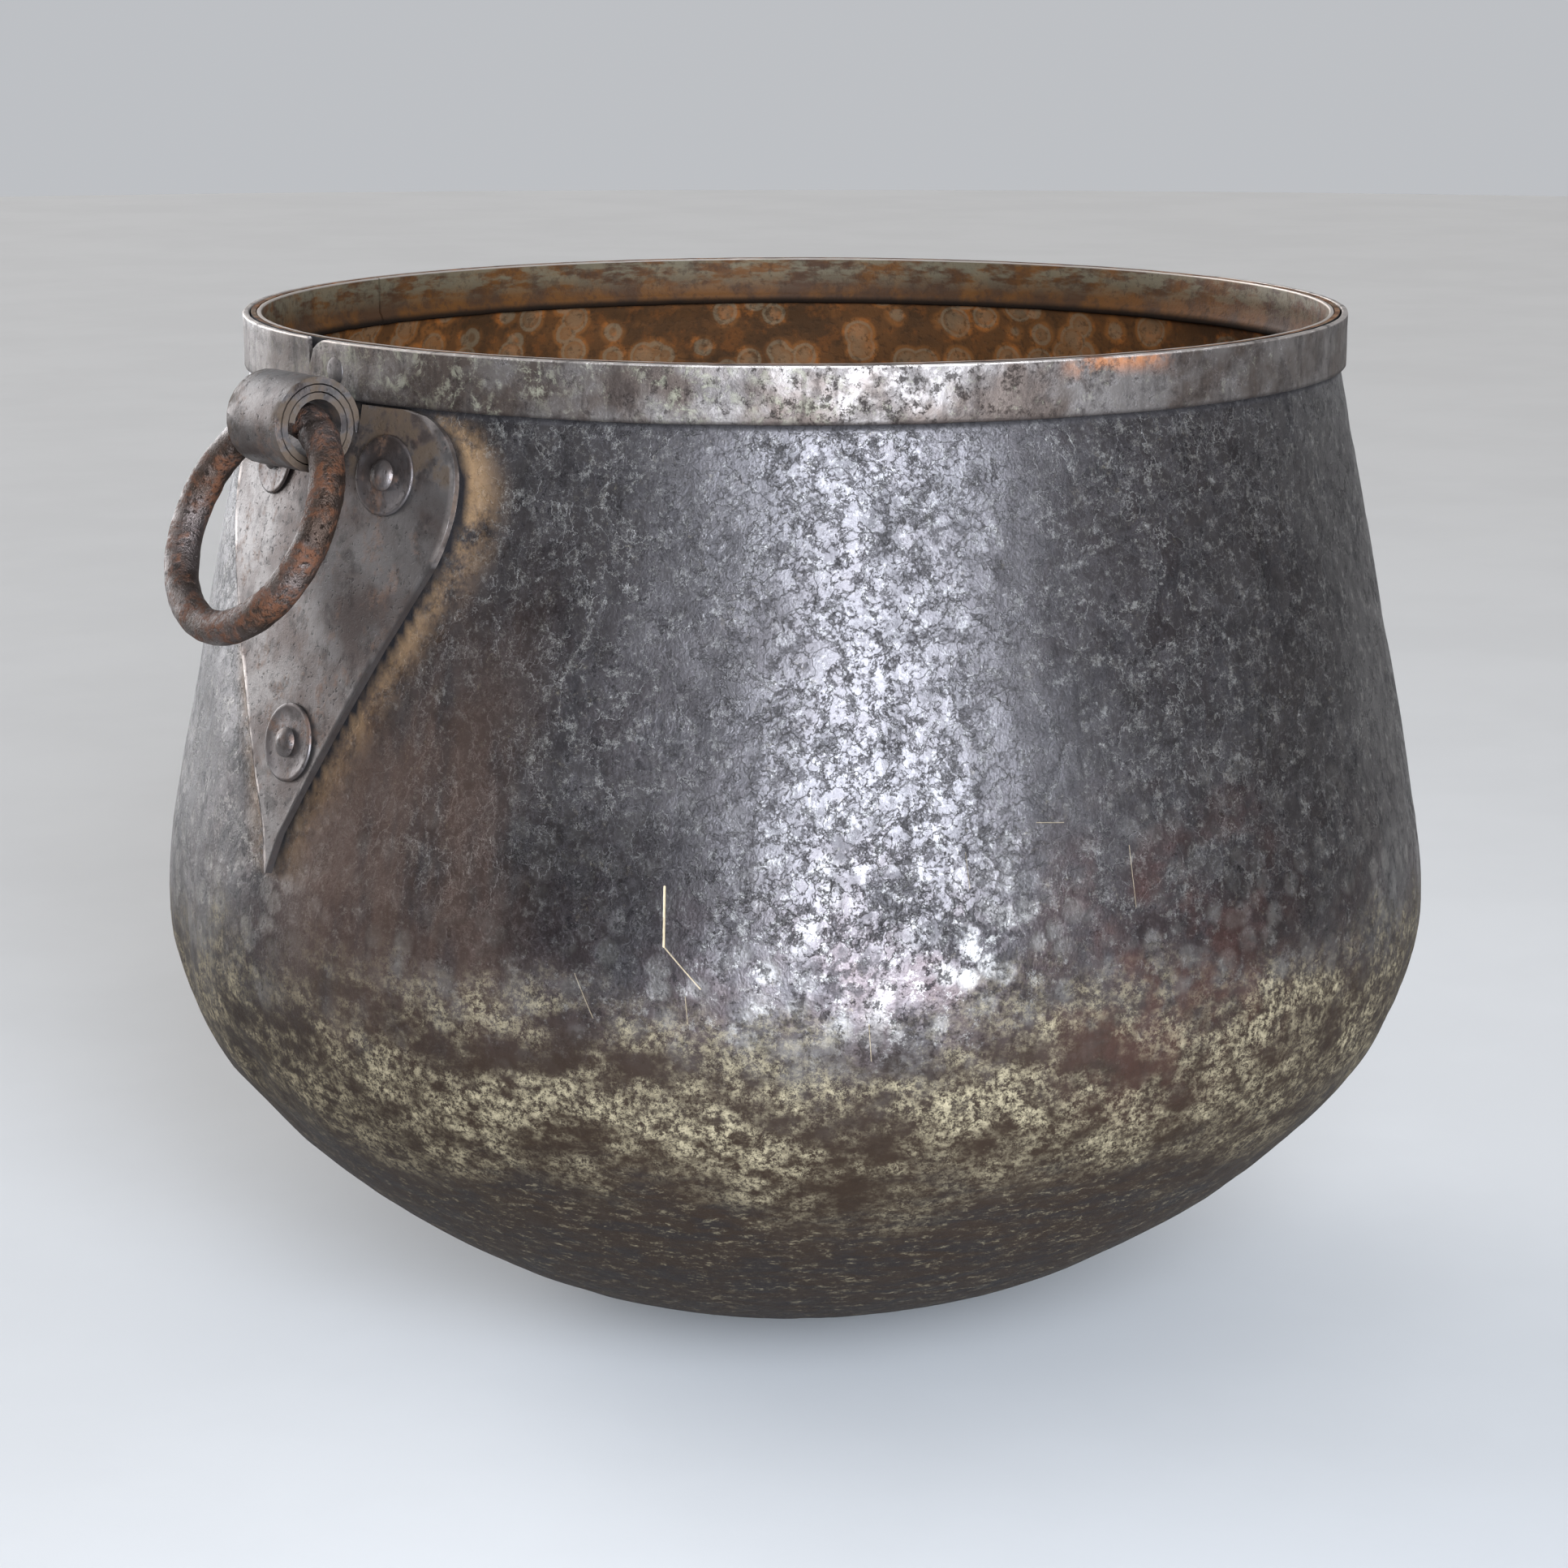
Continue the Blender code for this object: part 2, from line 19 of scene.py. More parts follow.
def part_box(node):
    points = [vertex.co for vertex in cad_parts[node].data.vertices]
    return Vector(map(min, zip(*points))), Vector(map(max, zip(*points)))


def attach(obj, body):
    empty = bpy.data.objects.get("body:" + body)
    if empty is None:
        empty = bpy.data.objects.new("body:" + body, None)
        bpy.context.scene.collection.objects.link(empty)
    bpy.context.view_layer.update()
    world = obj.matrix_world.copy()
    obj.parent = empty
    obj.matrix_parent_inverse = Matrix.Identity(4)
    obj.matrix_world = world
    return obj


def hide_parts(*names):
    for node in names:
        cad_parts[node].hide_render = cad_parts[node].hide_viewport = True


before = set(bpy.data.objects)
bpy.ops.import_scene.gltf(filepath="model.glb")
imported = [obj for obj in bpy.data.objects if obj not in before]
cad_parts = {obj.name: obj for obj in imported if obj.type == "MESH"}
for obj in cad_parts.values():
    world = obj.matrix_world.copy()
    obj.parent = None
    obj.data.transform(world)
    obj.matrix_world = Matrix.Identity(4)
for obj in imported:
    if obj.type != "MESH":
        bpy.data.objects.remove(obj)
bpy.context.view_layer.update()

LOG = logging.getLogger("bowl")
MM = 0.001
WALL_GIRTH = 0.26  # about the wall's radius, at which it is rolled out flat
DULL = 0.12  # how little the rust and dirt on the metal shine

Socket = bpy.types.NodeSocket
Tree = bpy.types.NodeTree
Profile = list[tuple[float, float]]


class Side(Enum):
    """The two handles, each with its direction round the bowl."""

    LEFT = math.pi
    RIGHT = 0.0

    @property
    def label(self) -> str:
        """The side's name as the pieces carry it."""
        return self.name.lower()


class Skin(Enum):
    """Which face of the sheet a part of the shell belongs to."""

    OUTSIDE = 0
    INSIDE = 1


# ---------------------------------------------------------------- small tools
def linear(colour: str) -> tuple[float, float, float, float]:
    """Turns an sRGB hex colour into linear light.

    Args:
        colour: six hex digits after a hash.

    Returns:
        Red, green, blue and an alpha of 1.
    """
    parts = [int(colour[i : i + 2], 16) / 255 for i in (1, 3, 5)]
    light = [p / 12.92 if p <= 0.04045 else ((p + 0.055) / 1.055) ** 2.4 for p in parts]
    return (light[0], light[1], light[2], 1.0)


def add(tree: Tree, kind: str, inputs: dict | None = None, **settings: object) -> bpy.types.Node:
    """Adds a node with its settings, values and links.

    Args:
        tree: the tree it goes into.
        kind: the node's type name.
        inputs: a value or another node's socket for each input, by name or index.
        settings: the node's own properties.

    Returns:
        The new node.
    """
    node = tree.nodes.new(kind)
    for name, value in settings.items():
        setattr(node, name, value)
    for key, value in (inputs or {}).items():
        if isinstance(value, Socket):
            tree.links.new(value, node.inputs[key])
        else:
            node.inputs[key].default_value = value
    return node


def maths(tree: Tree, operation: str, *values: Socket | float) -> Socket:
    """Adds a sum on numbers and gives its result."""
    return add(tree, "ShaderNodeMath", dict(enumerate(values)), operation=operation).outputs[0]


def vectors(tree: Tree, operation: str, *values: Socket | Vector | tuple) -> Socket:
    """Adds a sum on vectors and gives its result, which is a number for a product or a distance."""
    node = add(tree, "ShaderNodeVectorMath", dict(enumerate(values)), operation=operation)
    return node.outputs["Value" if operation in ("DOT_PRODUCT", "DISTANCE") else "Vector"]


def scaled(tree: Tree, vector: Socket | Vector, share: Socket | float) -> Socket:
    """Adds a node that multiplies a vector by a number, and gives its result."""
    inputs = {0: vector, "Scale": share}
    return add(tree, "ShaderNodeVectorMath", inputs, operation="SCALE").outputs["Vector"]


def smooth_step(value: float) -> float:
    """A soft ramp from 0 to 1, flat at both ends."""
    value = min(max(value, 0.0), 1.0)
    return value * value * (3 - 2 * value)


def outward(angle: float) -> Matrix:
    """Turns +X to a direction round the bowl."""
    return Matrix.Rotation(angle, 4, "Z")


def new_object(name: str, mesh: bpy.types.Mesh) -> bpy.types.Object:
    """Puts a mesh into the scene as an object at the origin."""
    piece = bpy.data.objects.new(name, mesh)
    bpy.context.scene.collection.objects.link(piece)
    return piece


def bake(piece: bpy.types.Object) -> None:
    """Turns what the modifiers make of a piece into its own plain mesh, and removes them."""
    bpy.context.view_layer.update()
    shown = piece.evaluated_get(bpy.context.evaluated_depsgraph_get())
    mesh = bpy.data.meshes.new_from_object(shown)
    piece.modifiers.clear()
    piece.data = mesh
    mesh.name = piece.name


def to_mesh(form: bmesh.types.BMesh, name: str) -> bpy.types.Mesh:
    """Writes a form into a new mesh and frees it."""
    mesh = bpy.data.meshes.new(name)
    form.to_mesh(mesh)
    form.free()
    return mesh


def finish_mesh(mesh: bpy.types.Mesh, sharp: float = 50.0) -> None:
    """Shades a mesh smooth with its hard corners kept."""
    mesh.shade_smooth()
    mesh.set_sharp_from_angle(angle=math.radians(sharp))


def place(piece: bpy.types.Object, body: str, nodes: list[str]) -> None:
    """Ties a finished piece to its body and hides the plain solids it stands for.

    Args:
        piece: the finished object.
        body: the body it moves with.
        nodes: the plain solids.
    """
    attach(piece, body)
    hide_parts(*nodes)
    LOG.info("%s: %d faces on %s", piece.name, len(piece.data.polygons), body)


# ---------------------------------------------------------------- finishes
class Layers:
    """A finish built up in coats, each laid over the last where its mask is 1."""

    def __init__(self, name: str, colour: str, roughness: float, metallic: float) -> None:
        """Starts the finish with its bare metal.

        Args:
            name: the material's name.
            colour: its base colour in hex.
            roughness: its base roughness.
            metallic: 1 for bare metal, 0 for rust or dirt.
        """
        self.material = bpy.data.materials.new(name)
        self.material.use_nodes = True
        self.tree = self.material.node_tree
        self.shader = self.tree.nodes["Principled BSDF"]
        self.place = add(self.tree, "ShaderNodeTexCoord").outputs["Object"]
        self.colour: object = linear(colour)
        self.roughness: object = roughness
        self.metallic: object = metallic
        self.height: object = 0.0

    def stretched(self, stretch: tuple[float, float, float], shift: float = 0.0) -> Socket:
        """The place on the piece, scaled along each axis and shifted to give another pattern."""
        mapping = {"Vector": self.place, "Scale": stretch, "Location": (shift, shift * 0.7, -shift)}
        return add(self.tree, "ShaderNodeMapping", mapping).outputs[0]

    def ramp(self, value: Socket, low: float, high: float) -> Socket:
        """A soft mask that is 0 below low and 1 above high, or the reverse if low is the larger."""
        reach = {"Value": value, "From Min": low, "From Max": high}
        if low > high:
            reach = {"Value": value, "From Min": high, "From Max": low, "To Min": 1.0, "To Max": 0.0}
        return add(self.tree, "ShaderNodeMapRange", reach, interpolation_type="SMOOTHSTEP").outputs[0]

    def grain(
        self,
        size: float,
        low: float,
        high: float,
        detail: float = 4.0,
        stretch: tuple[float, float, float] = (1, 1, 1),
        shift: float = 0.0,
        distortion: float = 0.0,
    ) -> Socket:
        """A cloudy mask.

        Args:
            size: the real size of a patch in millimetres.
            low: where the mask starts, in the noise's 0 to 1.
            high: where it is full.
            detail: how many finer layers the noise has.
            stretch: scale along each axis.
            shift: moves the pattern, so two masks differ.
            distortion: how torn its outlines are.

        Returns:
            The mask.
        """
        return self.ramp(self.field(size, detail, shift, distortion, stretch), low, high)

    def field(
        self,
        size: float,
        detail: float = 4.0,
        shift: float = 0.0,
        distortion: float = 0.0,
        stretch: tuple[float, float, float] = (1, 1, 1),
        broken: float = 0.62,
    ) -> Socket:
        """The cloudy value behind a mask, about 0.3 to 0.7, the more broken the more its fine layers show."""
        source = {
            "Vector": self.stretched(stretch, shift),
            "Scale": 1 / (size * MM),
            "Detail": detail,
            "Roughness": broken,
            "Distortion": distortion,
        }
        return add(self.tree, "ShaderNodeTexNoise", source).outputs[0]

    def apart(self, value: Socket, level: float) -> Socket:
        """How far a value is from a level, which draws the outlines of a cloud."""
        off = maths(self.tree, "SUBTRACT", value, level)
        return maths(self.tree, "ABSOLUTE", off)

    def wobbled(self, size: float, amount: float) -> Socket:
        """The place on the piece, pushed about by a noise so that straight outlines turn ragged."""
        source = {"Vector": self.place, "Scale": 1 / (size * MM), "Detail": 6.0, "Roughness": 0.6}
        push = add(self.tree, "ShaderNodeTexNoise", source).outputs["Color"]
        centred = vectors(self.tree, "SUBTRACT", push, (0.5, 0.5, 0.5))
        return vectors(self.tree, "ADD", self.place, scaled(self.tree, centred, amount * MM))

    def cells(self, size: float, ragged: float) -> Socket:
        """Distance from the middles of cells of a real size, with ragged outlines, in millimetres."""
        source = {"Vector": self.wobbled(size * 0.5, ragged), "Scale": 1 / (size * MM), "Randomness": 0.9}
        return add(self.tree, "ShaderNodeTexVoronoi", source).outputs["Distance"]

    def axis(self, name: str) -> Socket:
        """One coordinate of the place on the piece."""
        return add(self.tree, "ShaderNodeSeparateXYZ", {"Vector": self.place}).outputs[name]

    def belt(self, low: float, high: float, soft: float, ragged: float = 0.0) -> Socket:
        """A level band between two heights in metres, with soft and ragged edges."""
        where = self.wobbled(75, ragged) if ragged else self.place
        height = add(self.tree, "ShaderNodeSeparateXYZ", {"Vector": where}).outputs["Z"]
        above = self.ramp(height, low - soft, low + soft)
        below = self.ramp(height, high + soft, high - soft)
        return self.both(above, below)

    def from_axis(self) -> Socket:
        """The level direction from the bowl's axis to the place on the piece."""
        return vectors(self.tree, "NORMALIZE", vectors(self.tree, "MULTIPLY", self.place, (1, 1, 0)))

    def facing(self, angle: float, half: float, soft: float) -> Socket:
        """A mask round one direction of the bowl, in degrees."""
        way = (math.cos(math.radians(angle)), math.sin(math.radians(angle)), 0)
        dot = vectors(self.tree, "DOT_PRODUCT", self.from_axis(), way)
        edge, full = math.cos(math.radians(half + soft)), math.cos(math.radians(max(half - soft, 0)))
        return self.ramp(dot, edge, full)

    def stroke(self, start: Vector, end: Vector, width: float) -> Socket:
        """A thin straight scratch between two points on the wall.

        Args:
            start: where it starts.
            end: where it ends.
            width: how wide it is in metres.

        Returns:
            The mask, drawn on the wall as if rolled out flat, so that dents don't break it.
        """
        girth = WALL_GIRTH
        ends = [Vector((p.x, p.y, 0)).normalized() * girth + Vector((0, 0, p.z)) for p in (start, end)]
        along = ends[1] - ends[0]
        height = vectors(self.tree, "MULTIPLY", self.place, (0, 0, 1))
        spot = vectors(self.tree, "MULTIPLY_ADD", self.from_axis(), (girth, girth, girth), height)
        off = vectors(self.tree, "SUBTRACT", spot, ends[0])
        dot = vectors(self.tree, "DOT_PRODUCT", off, along)
        part = {"Value": dot, "From Min": 0.0, "From Max": along.length_squared}
        share = add(self.tree, "ShaderNodeMapRange", part).outputs[0]
        near = scaled(self.tree, along, share)
        far = vectors(self.tree, "DISTANCE", off, near)
        return self.ramp(far, width * 0.6, width * 0.3)

    def painted(self, name: str) -> Socket:
        """A mask that the mesh carries as an attribute."""
        return add(self.tree, "ShaderNodeAttribute", attribute_name=name).outputs["Fac"]

    def both(self, first: Socket, second: Socket | float) -> Socket:
        """The product of two masks."""
        return maths(self.tree, "MULTIPLY", first, second)

    def coat(
        self,
        mask: Socket,
        colour: str | None = None,
        roughness: float | None = None,
        metallic: float | None = None,
        height: float = 0.0,
        share: float = 1.0,
    ) -> None:
        """Lays a coat over what is there.

        Args:
            mask: where the coat lies.
            colour: its colour in hex, or nothing to keep the colour below.
            roughness: its roughness, or nothing to keep the one below.
            metallic: how metallic it is, or nothing to keep the one below.
            height: how far it stands up in millimetres, below 0 for a pit.
            share: how much of it covers.
        """
        cover = self.both(mask, share) if share != 1.0 else mask
        if colour:
            mixed = {0: cover, 6: self.colour, 7: linear(colour)}
            self.colour = add(self.tree, "ShaderNodeMix", mixed, data_type="RGBA").outputs[2]
        if roughness is not None:
            mixed = {0: cover, 2: self.roughness, 3: roughness}
            self.roughness = add(self.tree, "ShaderNodeMix", mixed).outputs[0]
        if metallic is not None:
            mixed = {0: cover, 2: self.metallic, 3: metallic}
            self.metallic = add(self.tree, "ShaderNodeMix", mixed).outputs[0]
        if height:
            self.height = maths(self.tree, "MULTIPLY_ADD", mask, height, self.height)

    def done(self, strength: float = 1.0) -> bpy.types.Material:
        """Connects the coats to the shader.

        Args:
            strength: how strongly the relief shows.

        Returns:
            The material.
        """
        coats = {"Base Color": self.colour, "Roughness": self.roughness, "Metallic": self.metallic}
        for name, value in coats.items():
            if isinstance(value, Socket):
                self.tree.links.new(value, self.shader.inputs[name])
            else:
                self.shader.inputs[name].default_value = value
        self.shader.inputs["Specular IOR Level"].default_value = DULL
        if isinstance(self.height, Socket):
            relief = {"Height": self.height, "Distance": MM, "Strength": strength}
            bump = add(self.tree, "ShaderNodeBump", relief).outputs["Normal"]
            self.tree.links.new(bump, self.shader.inputs["Normal"])
        return self.material


@dataclass(frozen=True)
class DarkPatina:
    """Hammered copper under a dark grey-brown skin of oxide, soot and polish.

    Planishing marks show as soft round spots of painted highlight, and old scale lies on it in thin torn
    flakes.
    """

    metal: str = "#4e4a49"
    cloud: str = "#352f2e"
    soot: str = "#1e1b1b"
    pale: str = "#98938b"
    purple: str = "#3f302e"
    brown: str = "#56443a"
    grime: str = "#a6987a"
    ochre: str = "#86694a"
    umber: str = "#271c13"
    red: str = "#4a2f27"
    cream: str = "#b8a483"

    def make(self, scratches: list[tuple[Vector, Vector, float]]) -> bpy.types.Material:
        """Builds the material of the outside of the shell.

        Args:
            scratches: the start, end and width of each scratch in metres.

        Returns:
            The material.
        """
        skin = Layers("copper_hammered_dark_patina", self.metal, 0.35, 0.9)
        skin.coat(skin.grain(85, 0.36, 0.62), self.cloud, 0.39, share=0.8)
        lower = skin.belt(0.05, 0.245, 0.03, ragged=60)
        skin.coat(skin.both(lower, skin.grain(45, 0.35, 0.6, shift=21)), self.purple, 0.36, share=0.55)
        self.hammer_marks(skin)
        self.scale(skin)
        # painted highlight: above the belly, the wall facing the lamp is cleared back to plain metal over the
        # specks below
        lamp_side_clearing = skin.both(skin.belt(0.235, 0.46, 0.05, ragged=70), skin.facing(237, 16, 9))
        # soot in the grain of the oxide, and the fine light specks between it
        skin.coat(skin.ramp(skin.field(16, 9, 3, 0.1, broken=0.74), 0.44, 0.66), self.soot, 0.42, share=0.5)
        skin.coat(skin.ramp(skin.field(6, 9, 9, broken=0.88), 0.535, 0.60), self.pale, 0.32, share=0.42)
        fine_soot = skin.ramp(skin.field(7, 9, 2, broken=0.88), 0.52, 0.60)
        skin.coat(fine_soot, self.soot, 0.48, height=-0.04, share=0.75)
        # the painted highlight on the lamp side, laid over the specks
        skin.coat(lamp_side_clearing, self.metal, 0.37, share=0.55)
        skin.coat(skin.grain(1.3, 0.3, 0.7, shift=4), height=0.05)
        # streaks that ran down from the rim
        down = skin.grain(6, 0.52, 0.70, stretch=(1, 1, 0.09), shift=6)
        skin.coat(skin.both(down, skin.belt(0.14, 0.41, 0.03)), self.soot, 0.52, share=0.35)
        dark = skin.both(skin.facing(213, 9, 7), skin.belt(0.205, 0.262, 0.018, ragged=40))
        skin.coat(dark, self.soot, 0.36, share=0.55)
        warm = skin.both(skin.facing(194, 9, 8), skin.belt(0.13, 0.33, 0.05, ragged=60))
        streaked = skin.grain(30, 0.3, 0.6, stretch=(1, 1, 0.3), shift=19)
        skin.coat(skin.both(warm, streaked), self.brown, 0.5, share=0.7)
        self.dirt(skin)
        # rust red on the right of the front, and rust water beside the handle plates
        warm = skin.both(skin.facing(264, 9, 7), skin.belt(0.16, 0.25, 0.03, ragged=60))
        skin.coat(skin.both(warm, skin.grain(24, 0.42, 0.62, shift=13)), self.red, 0.44, 0.8, share=0.45)
        stain = skin.both(skin.painted("stain"), skin.ramp(skin.field(18, 8, 14, broken=0.8), 0.34, 0.58))
        skin.coat(stain, self.ochre, 0.7, 0.25, share=0.88)
        skin.coat(skin.painted("shade"), self.soot, 0.8, 0.2)
        # painted shadow: a dark line on the wall just under the hoop, where 'free' falls off; it also darkens
        # the middle of the foot
        skin.coat(skin.ramp(skin.painted("free"), 0.75, 0.2), self.soot, 0.8, 0.2, share=0.8)
        for start, end, width in scratches:
            deep = min(width / (1.1 * MM), 1.0)
            skin.coat(skin.stroke(start, end, width), self.cream, 0.6, 0.2, height=-0.1, share=0.8 * deep)
        return skin.done()

    def hammer_marks(self, skin: Layers) -> None:
        """Round planishing marks about 11 mm across, with painted highlights in their middles."""
        marks = skin.cells(11, 3)
        chosen = skin.both(skin.belt(0.10, 0.27, 0.02, ragged=50), skin.grain(40, 0.36, 0.56, shift=17))
        # painted highlight: pale middles of the marks in the belt round the belly
        skin.coat(skin.both(skin.ramp(marks, 0.56, 0.30), chosen), self.pale, 0.30, height=-0.12, share=0.3)
        skin.coat(skin.ramp(marks, 0.60, 0.15), height=-0.03)

    def scale(self, skin: Layers) -> None:
        """Thin old scale above the belly that ends in torn, dark outlines where it flaked off, with painted
        glints beside them.
        """
        above = skin.belt(0.222, 0.42, 0.006, ragged=85)
        skin.coat(above, self.cloud, 0.42, height=0.10, share=0.35)
        for size, shift, share in ((26, 31, 0.6), (10, 35, 0.35)):
            cloud = skin.field(size, 7, shift, 0.25)
            thick = skin.both(skin.ramp(cloud, 0.49, 0.52), above)
            outline = skin.both(skin.ramp(skin.apart(cloud, 0.495), 0.010, 0.002), above)
            skin.coat(thick, self.metal, 0.36, height=0.05, share=0.25)
            skin.coat(outline, self.soot, 0.65, height=-0.05, share=share)
            # painted glint: a thin pale line beside each torn outline, where a raised edge would catch the
            # light
            flake_edge_glint = skin.both(skin.ramp(skin.apart(cloud, 0.508), 0.008, 0.001), above)
            skin.coat(flake_edge_glint, self.pale, height=0.05, share=share * 0.6)
        bare = skin.both(skin.grain(30, 0.52, 0.60, 6, shift=37), skin.grain(4.5, 0.44, 0.54, 5, shift=38))
        skin.coat(bare, self.soot, 0.62, 0.6, -0.06, 0.55)

    def dirt(self, skin: Layers) -> None:
        """Baked-on ash in fine grains round the belly, and brown rubbed with level lines below."""
        low = skin.belt(-0.05, 0.150, 0.014, ragged=45)
        skin.coat(low, self.umber, 0.66, 0.1, share=0.96)
        level = skin.grain(26, 0.44, 0.62, 7, stretch=(1, 1, 4), shift=8, distortion=0.3)
        skin.coat(skin.both(level, low), self.soot, 0.62, share=0.6)
        rubbed = skin.both(skin.ramp(skin.field(7, 9, 41, 0, (1, 1, 2.2), 0.88), 0.54, 0.61), low)
        skin.coat(rubbed, self.grime, 0.7, 0.3, share=0.32)
        around = skin.belt(0.118, 0.188, 0.022, ragged=95)
        skin.coat(around, self.umber, 0.66, 0.2, share=0.92)
        patches = skin.grain(42, 0.36, 0.60, 5, (1, 1, 1.8), 27)
        cluster = skin.both(skin.grain(9, 0.32, 0.60, 5, (1, 1, 1.6), 7), patches)
        speck = skin.both(skin.ramp(skin.field(3.0, 9, 1, broken=0.92), 0.465, 0.545), cluster)
        skin.coat(skin.both(around, speck), self.grime, 0.78, 0.2, height=0.05, share=0.72)
        thin = skin.ramp(skin.field(5, 8, 12, broken=0.88), 0.57, 0.66)
        thin = skin.both(thin, skin.grain(50, 0.42, 0.66, shift=11))
        skin.coat(thin, self.grime, 0.75, 0.3, share=0.2)


@dataclass(frozen=True)
class RustyInside:
    """The inside of the copper shell, stained orange by rust, with grey marks left by the hammer."""

    stain: str = "#7a4d28"
    dark: str = "#3a291a"
    spot: str = "#857860"
    bright: str = "#9a5a28"

    def make(self) -> bpy.types.Material:
        """Builds the material of the inside of the shell."""
        skin = Layers("copper_inside_rust_stained", self.stain, 0.6, 0.35)
        skin.coat(skin.grain(40, 0.4, 0.62), self.dark, share=0.7)
        skin.coat(skin.grain(9, 0.5, 0.65, shift=3), self.bright, 0.7, share=0.6)
        # round marks of the hammer, packed side by side, grey-green in their middles and dark between
        marks = skin.cells(15, 2)
        chosen = skin.grain(45, 0.26, 0.46, shift=8)
        ring = skin.ramp(skin.apart(marks, 0.42), 0.07, 0.02)
        skin.coat(skin.both(skin.ramp(marks, 0.46, 0.22), chosen), self.spot, 0.5, 0.5, -0.1, 0.32)
        skin.coat(skin.both(ring, chosen), self.spot, 0.5, 0.5, share=0.4)
        skin.coat(skin.ramp(marks, 0.50, 0.62), self.dark, 0.7, share=0.6)
        skin.coat(skin.grain(3, 0.5, 0.66, shift=5), self.dark, 0.75, height=-0.08, share=0.5)
        skin.coat(skin.grain(1.3, 0.3, 0.7, shift=6), height=0.05)
        return skin.done()


@dataclass(frozen=True)
class HoopSkin:
    """The copper hoop: the same dark skin, with verdigris and lime in its mottles and a worn top edge."""

    metal: str = "#6c6560"
    brown: str = "#43372f"
    soot: str = "#26201e"
    verdigris: str = "#87836f"
    rust: str = "#8f5a36"
    worn: str = "#b9ada3"

    def make(self, top: float, bottom: float) -> bpy.types.Material:
        """Builds the hoop's material.

        Args:
            top: height of its top edge in metres.
            bottom: height of its lower edge.

        Returns:
            The material.
        """
        skin = Layers("copper_hoop_mottled", self.metal, 0.42, 0.85)
        skin.coat(skin.grain(30, 0.38, 0.62), self.brown, 0.5, share=0.8)
        blotches = skin.ramp(skin.field(14, 9, 2, broken=0.76), 0.46, 0.62)
        skin.coat(blotches, self.soot, 0.5, height=-0.08, share=0.5)
        bloom = skin.ramp(skin.field(8, 8, 5, 0.3, broken=0.8), 0.50, 0.60)
        mottled = skin.both(skin.facing(203, 28, 12), bloom)
        skin.coat(skin.both(mottled, skin.grain(26, 0.36, 0.6, shift=7)), self.verdigris, 0.7, 0.3, 0.05, 0.6)
        rust = skin.both(skin.facing(262, 3.5, 4), skin.belt(top - 0.006, top + 0.01, 0.004, ragged=12))
        skin.coat(skin.both(rust, skin.grain(9, 0.4, 0.6, shift=9)), self.rust, 0.65, 0.3, share=0.8)
        pits = skin.ramp(skin.field(6, 8, 11, broken=0.85), 0.53, 0.64)
        skin.coat(pits, self.soot, 0.55, height=-0.10, share=0.6)
        specks = skin.ramp(skin.field(6, 8, 12, broken=0.85), 0.56, 0.66)
        skin.coat(specks, self.verdigris, 0.7, 0.4, share=0.4)
        streak = skin.grain(5, 0.52, 0.68, stretch=(1, 1, 0.15), shift=14)
        skin.coat(streak, self.soot, 0.6, share=0.35)
        height = skin.axis("Z")
        edge = skin.ramp(height, top - 0.0011, top - 0.0003)
        skin.coat(skin.both(edge, skin.grain(12, 0.3, 0.5, shift=15)), self.worn, 0.35, 0.9, share=0.8)
        foot = skin.ramp(height, bottom + 0.0022, bottom + 0.0004)
        skin.coat(foot, self.soot, 0.7, share=0.7)
        skin.coat(skin.grain(1.1, 0.3, 0.7, shift=16), height=0.04)
        return skin.done()


@dataclass(frozen=True)
class ForgedIron:
    """Forged wrought iron rubbed smooth: grey-brown fire scale, bright where hands and wear reach, painted
    highlight and shade at plate edges.
    """

    name: str = "iron_forged_plate"
    metal: str = "#5d5855"
    brown: str = "#463b36"
    soot: str = "#27211e"
    rust: str = "#6a4c36"
    rusted: float = 0.0
    shine: float = 0.38
    grit: float = 1.0
    grime: str = "#44372a"
    worn: str = "#a79d96"

    def make(self) -> bpy.types.Material:
        """Builds the iron's material."""
        skin = Layers(self.name, self.metal, self.shine, 0.85)
        skin.coat(skin.grain(34, 0.38, 0.62, shift=1), self.brown, self.shine + 0.08, share=0.85)
        skin.coat(skin.grain(9, 0.5, 0.68, shift=3), self.soot, self.shine + 0.12, share=0.5)
        low = 0.62 - 0.24 * self.rusted
        patchy = skin.grain(12, low - 0.1, low + 0.06, shift=5)
        patchy = skin.both(patchy, skin.grain(2.6, 0.36, 0.56, shift=6))
        skin.coat(patchy, self.rust, 0.75, 0.2, 0.05 * self.grit, min(0.35 + self.rusted, 1.0))
        skin.coat(skin.grain(2.2, 0.57, 0.68, shift=7), self.soot, 0.6, height=-0.08 * self.grit, share=0.55)
        grime = skin.both(skin.painted("grime"), skin.grain(8, 0.38, 0.56, 6, shift=12))
        skin.coat(grime, self.grime, 0.75, 0.2, 0.05, share=0.8)
        # painted shade on the plate edges that turn away from the light
        skin.coat(skin.painted("dull"), self.soot, 0.7, 0.4, share=0.85)
        # worn edges, laid only on the lit side of each plate as a painted highlight
        rubbed = skin.both(skin.painted("worn"), skin.grain(16, 0.40, 0.60, shift=9))
        skin.coat(rubbed, self.worn, 0.30, 0.95, share=0.7)
        skin.coat(skin.grain(0.9, 0.3, 0.7, shift=8), height=0.03 * self.grit)
        return skin.done()


@dataclass(frozen=True)
class PaleGround:
    """A matt plaster floor, pale and even."""

    colour: str = "#d2cfcb"
    cloud: str = "#cbc8c4"

    def make(self) -> bpy.types.Material:
        """Builds the floor's material."""
        skin = Layers("plaster_floor", self.colour, 0.85, 0.0)
        skin.coat(skin.grain(300, 0.35, 0.65), self.cloud, share=0.5)
        skin.coat(skin.grain(4, 0.3, 0.7), height=0.05)
        return skin.done(0.3)


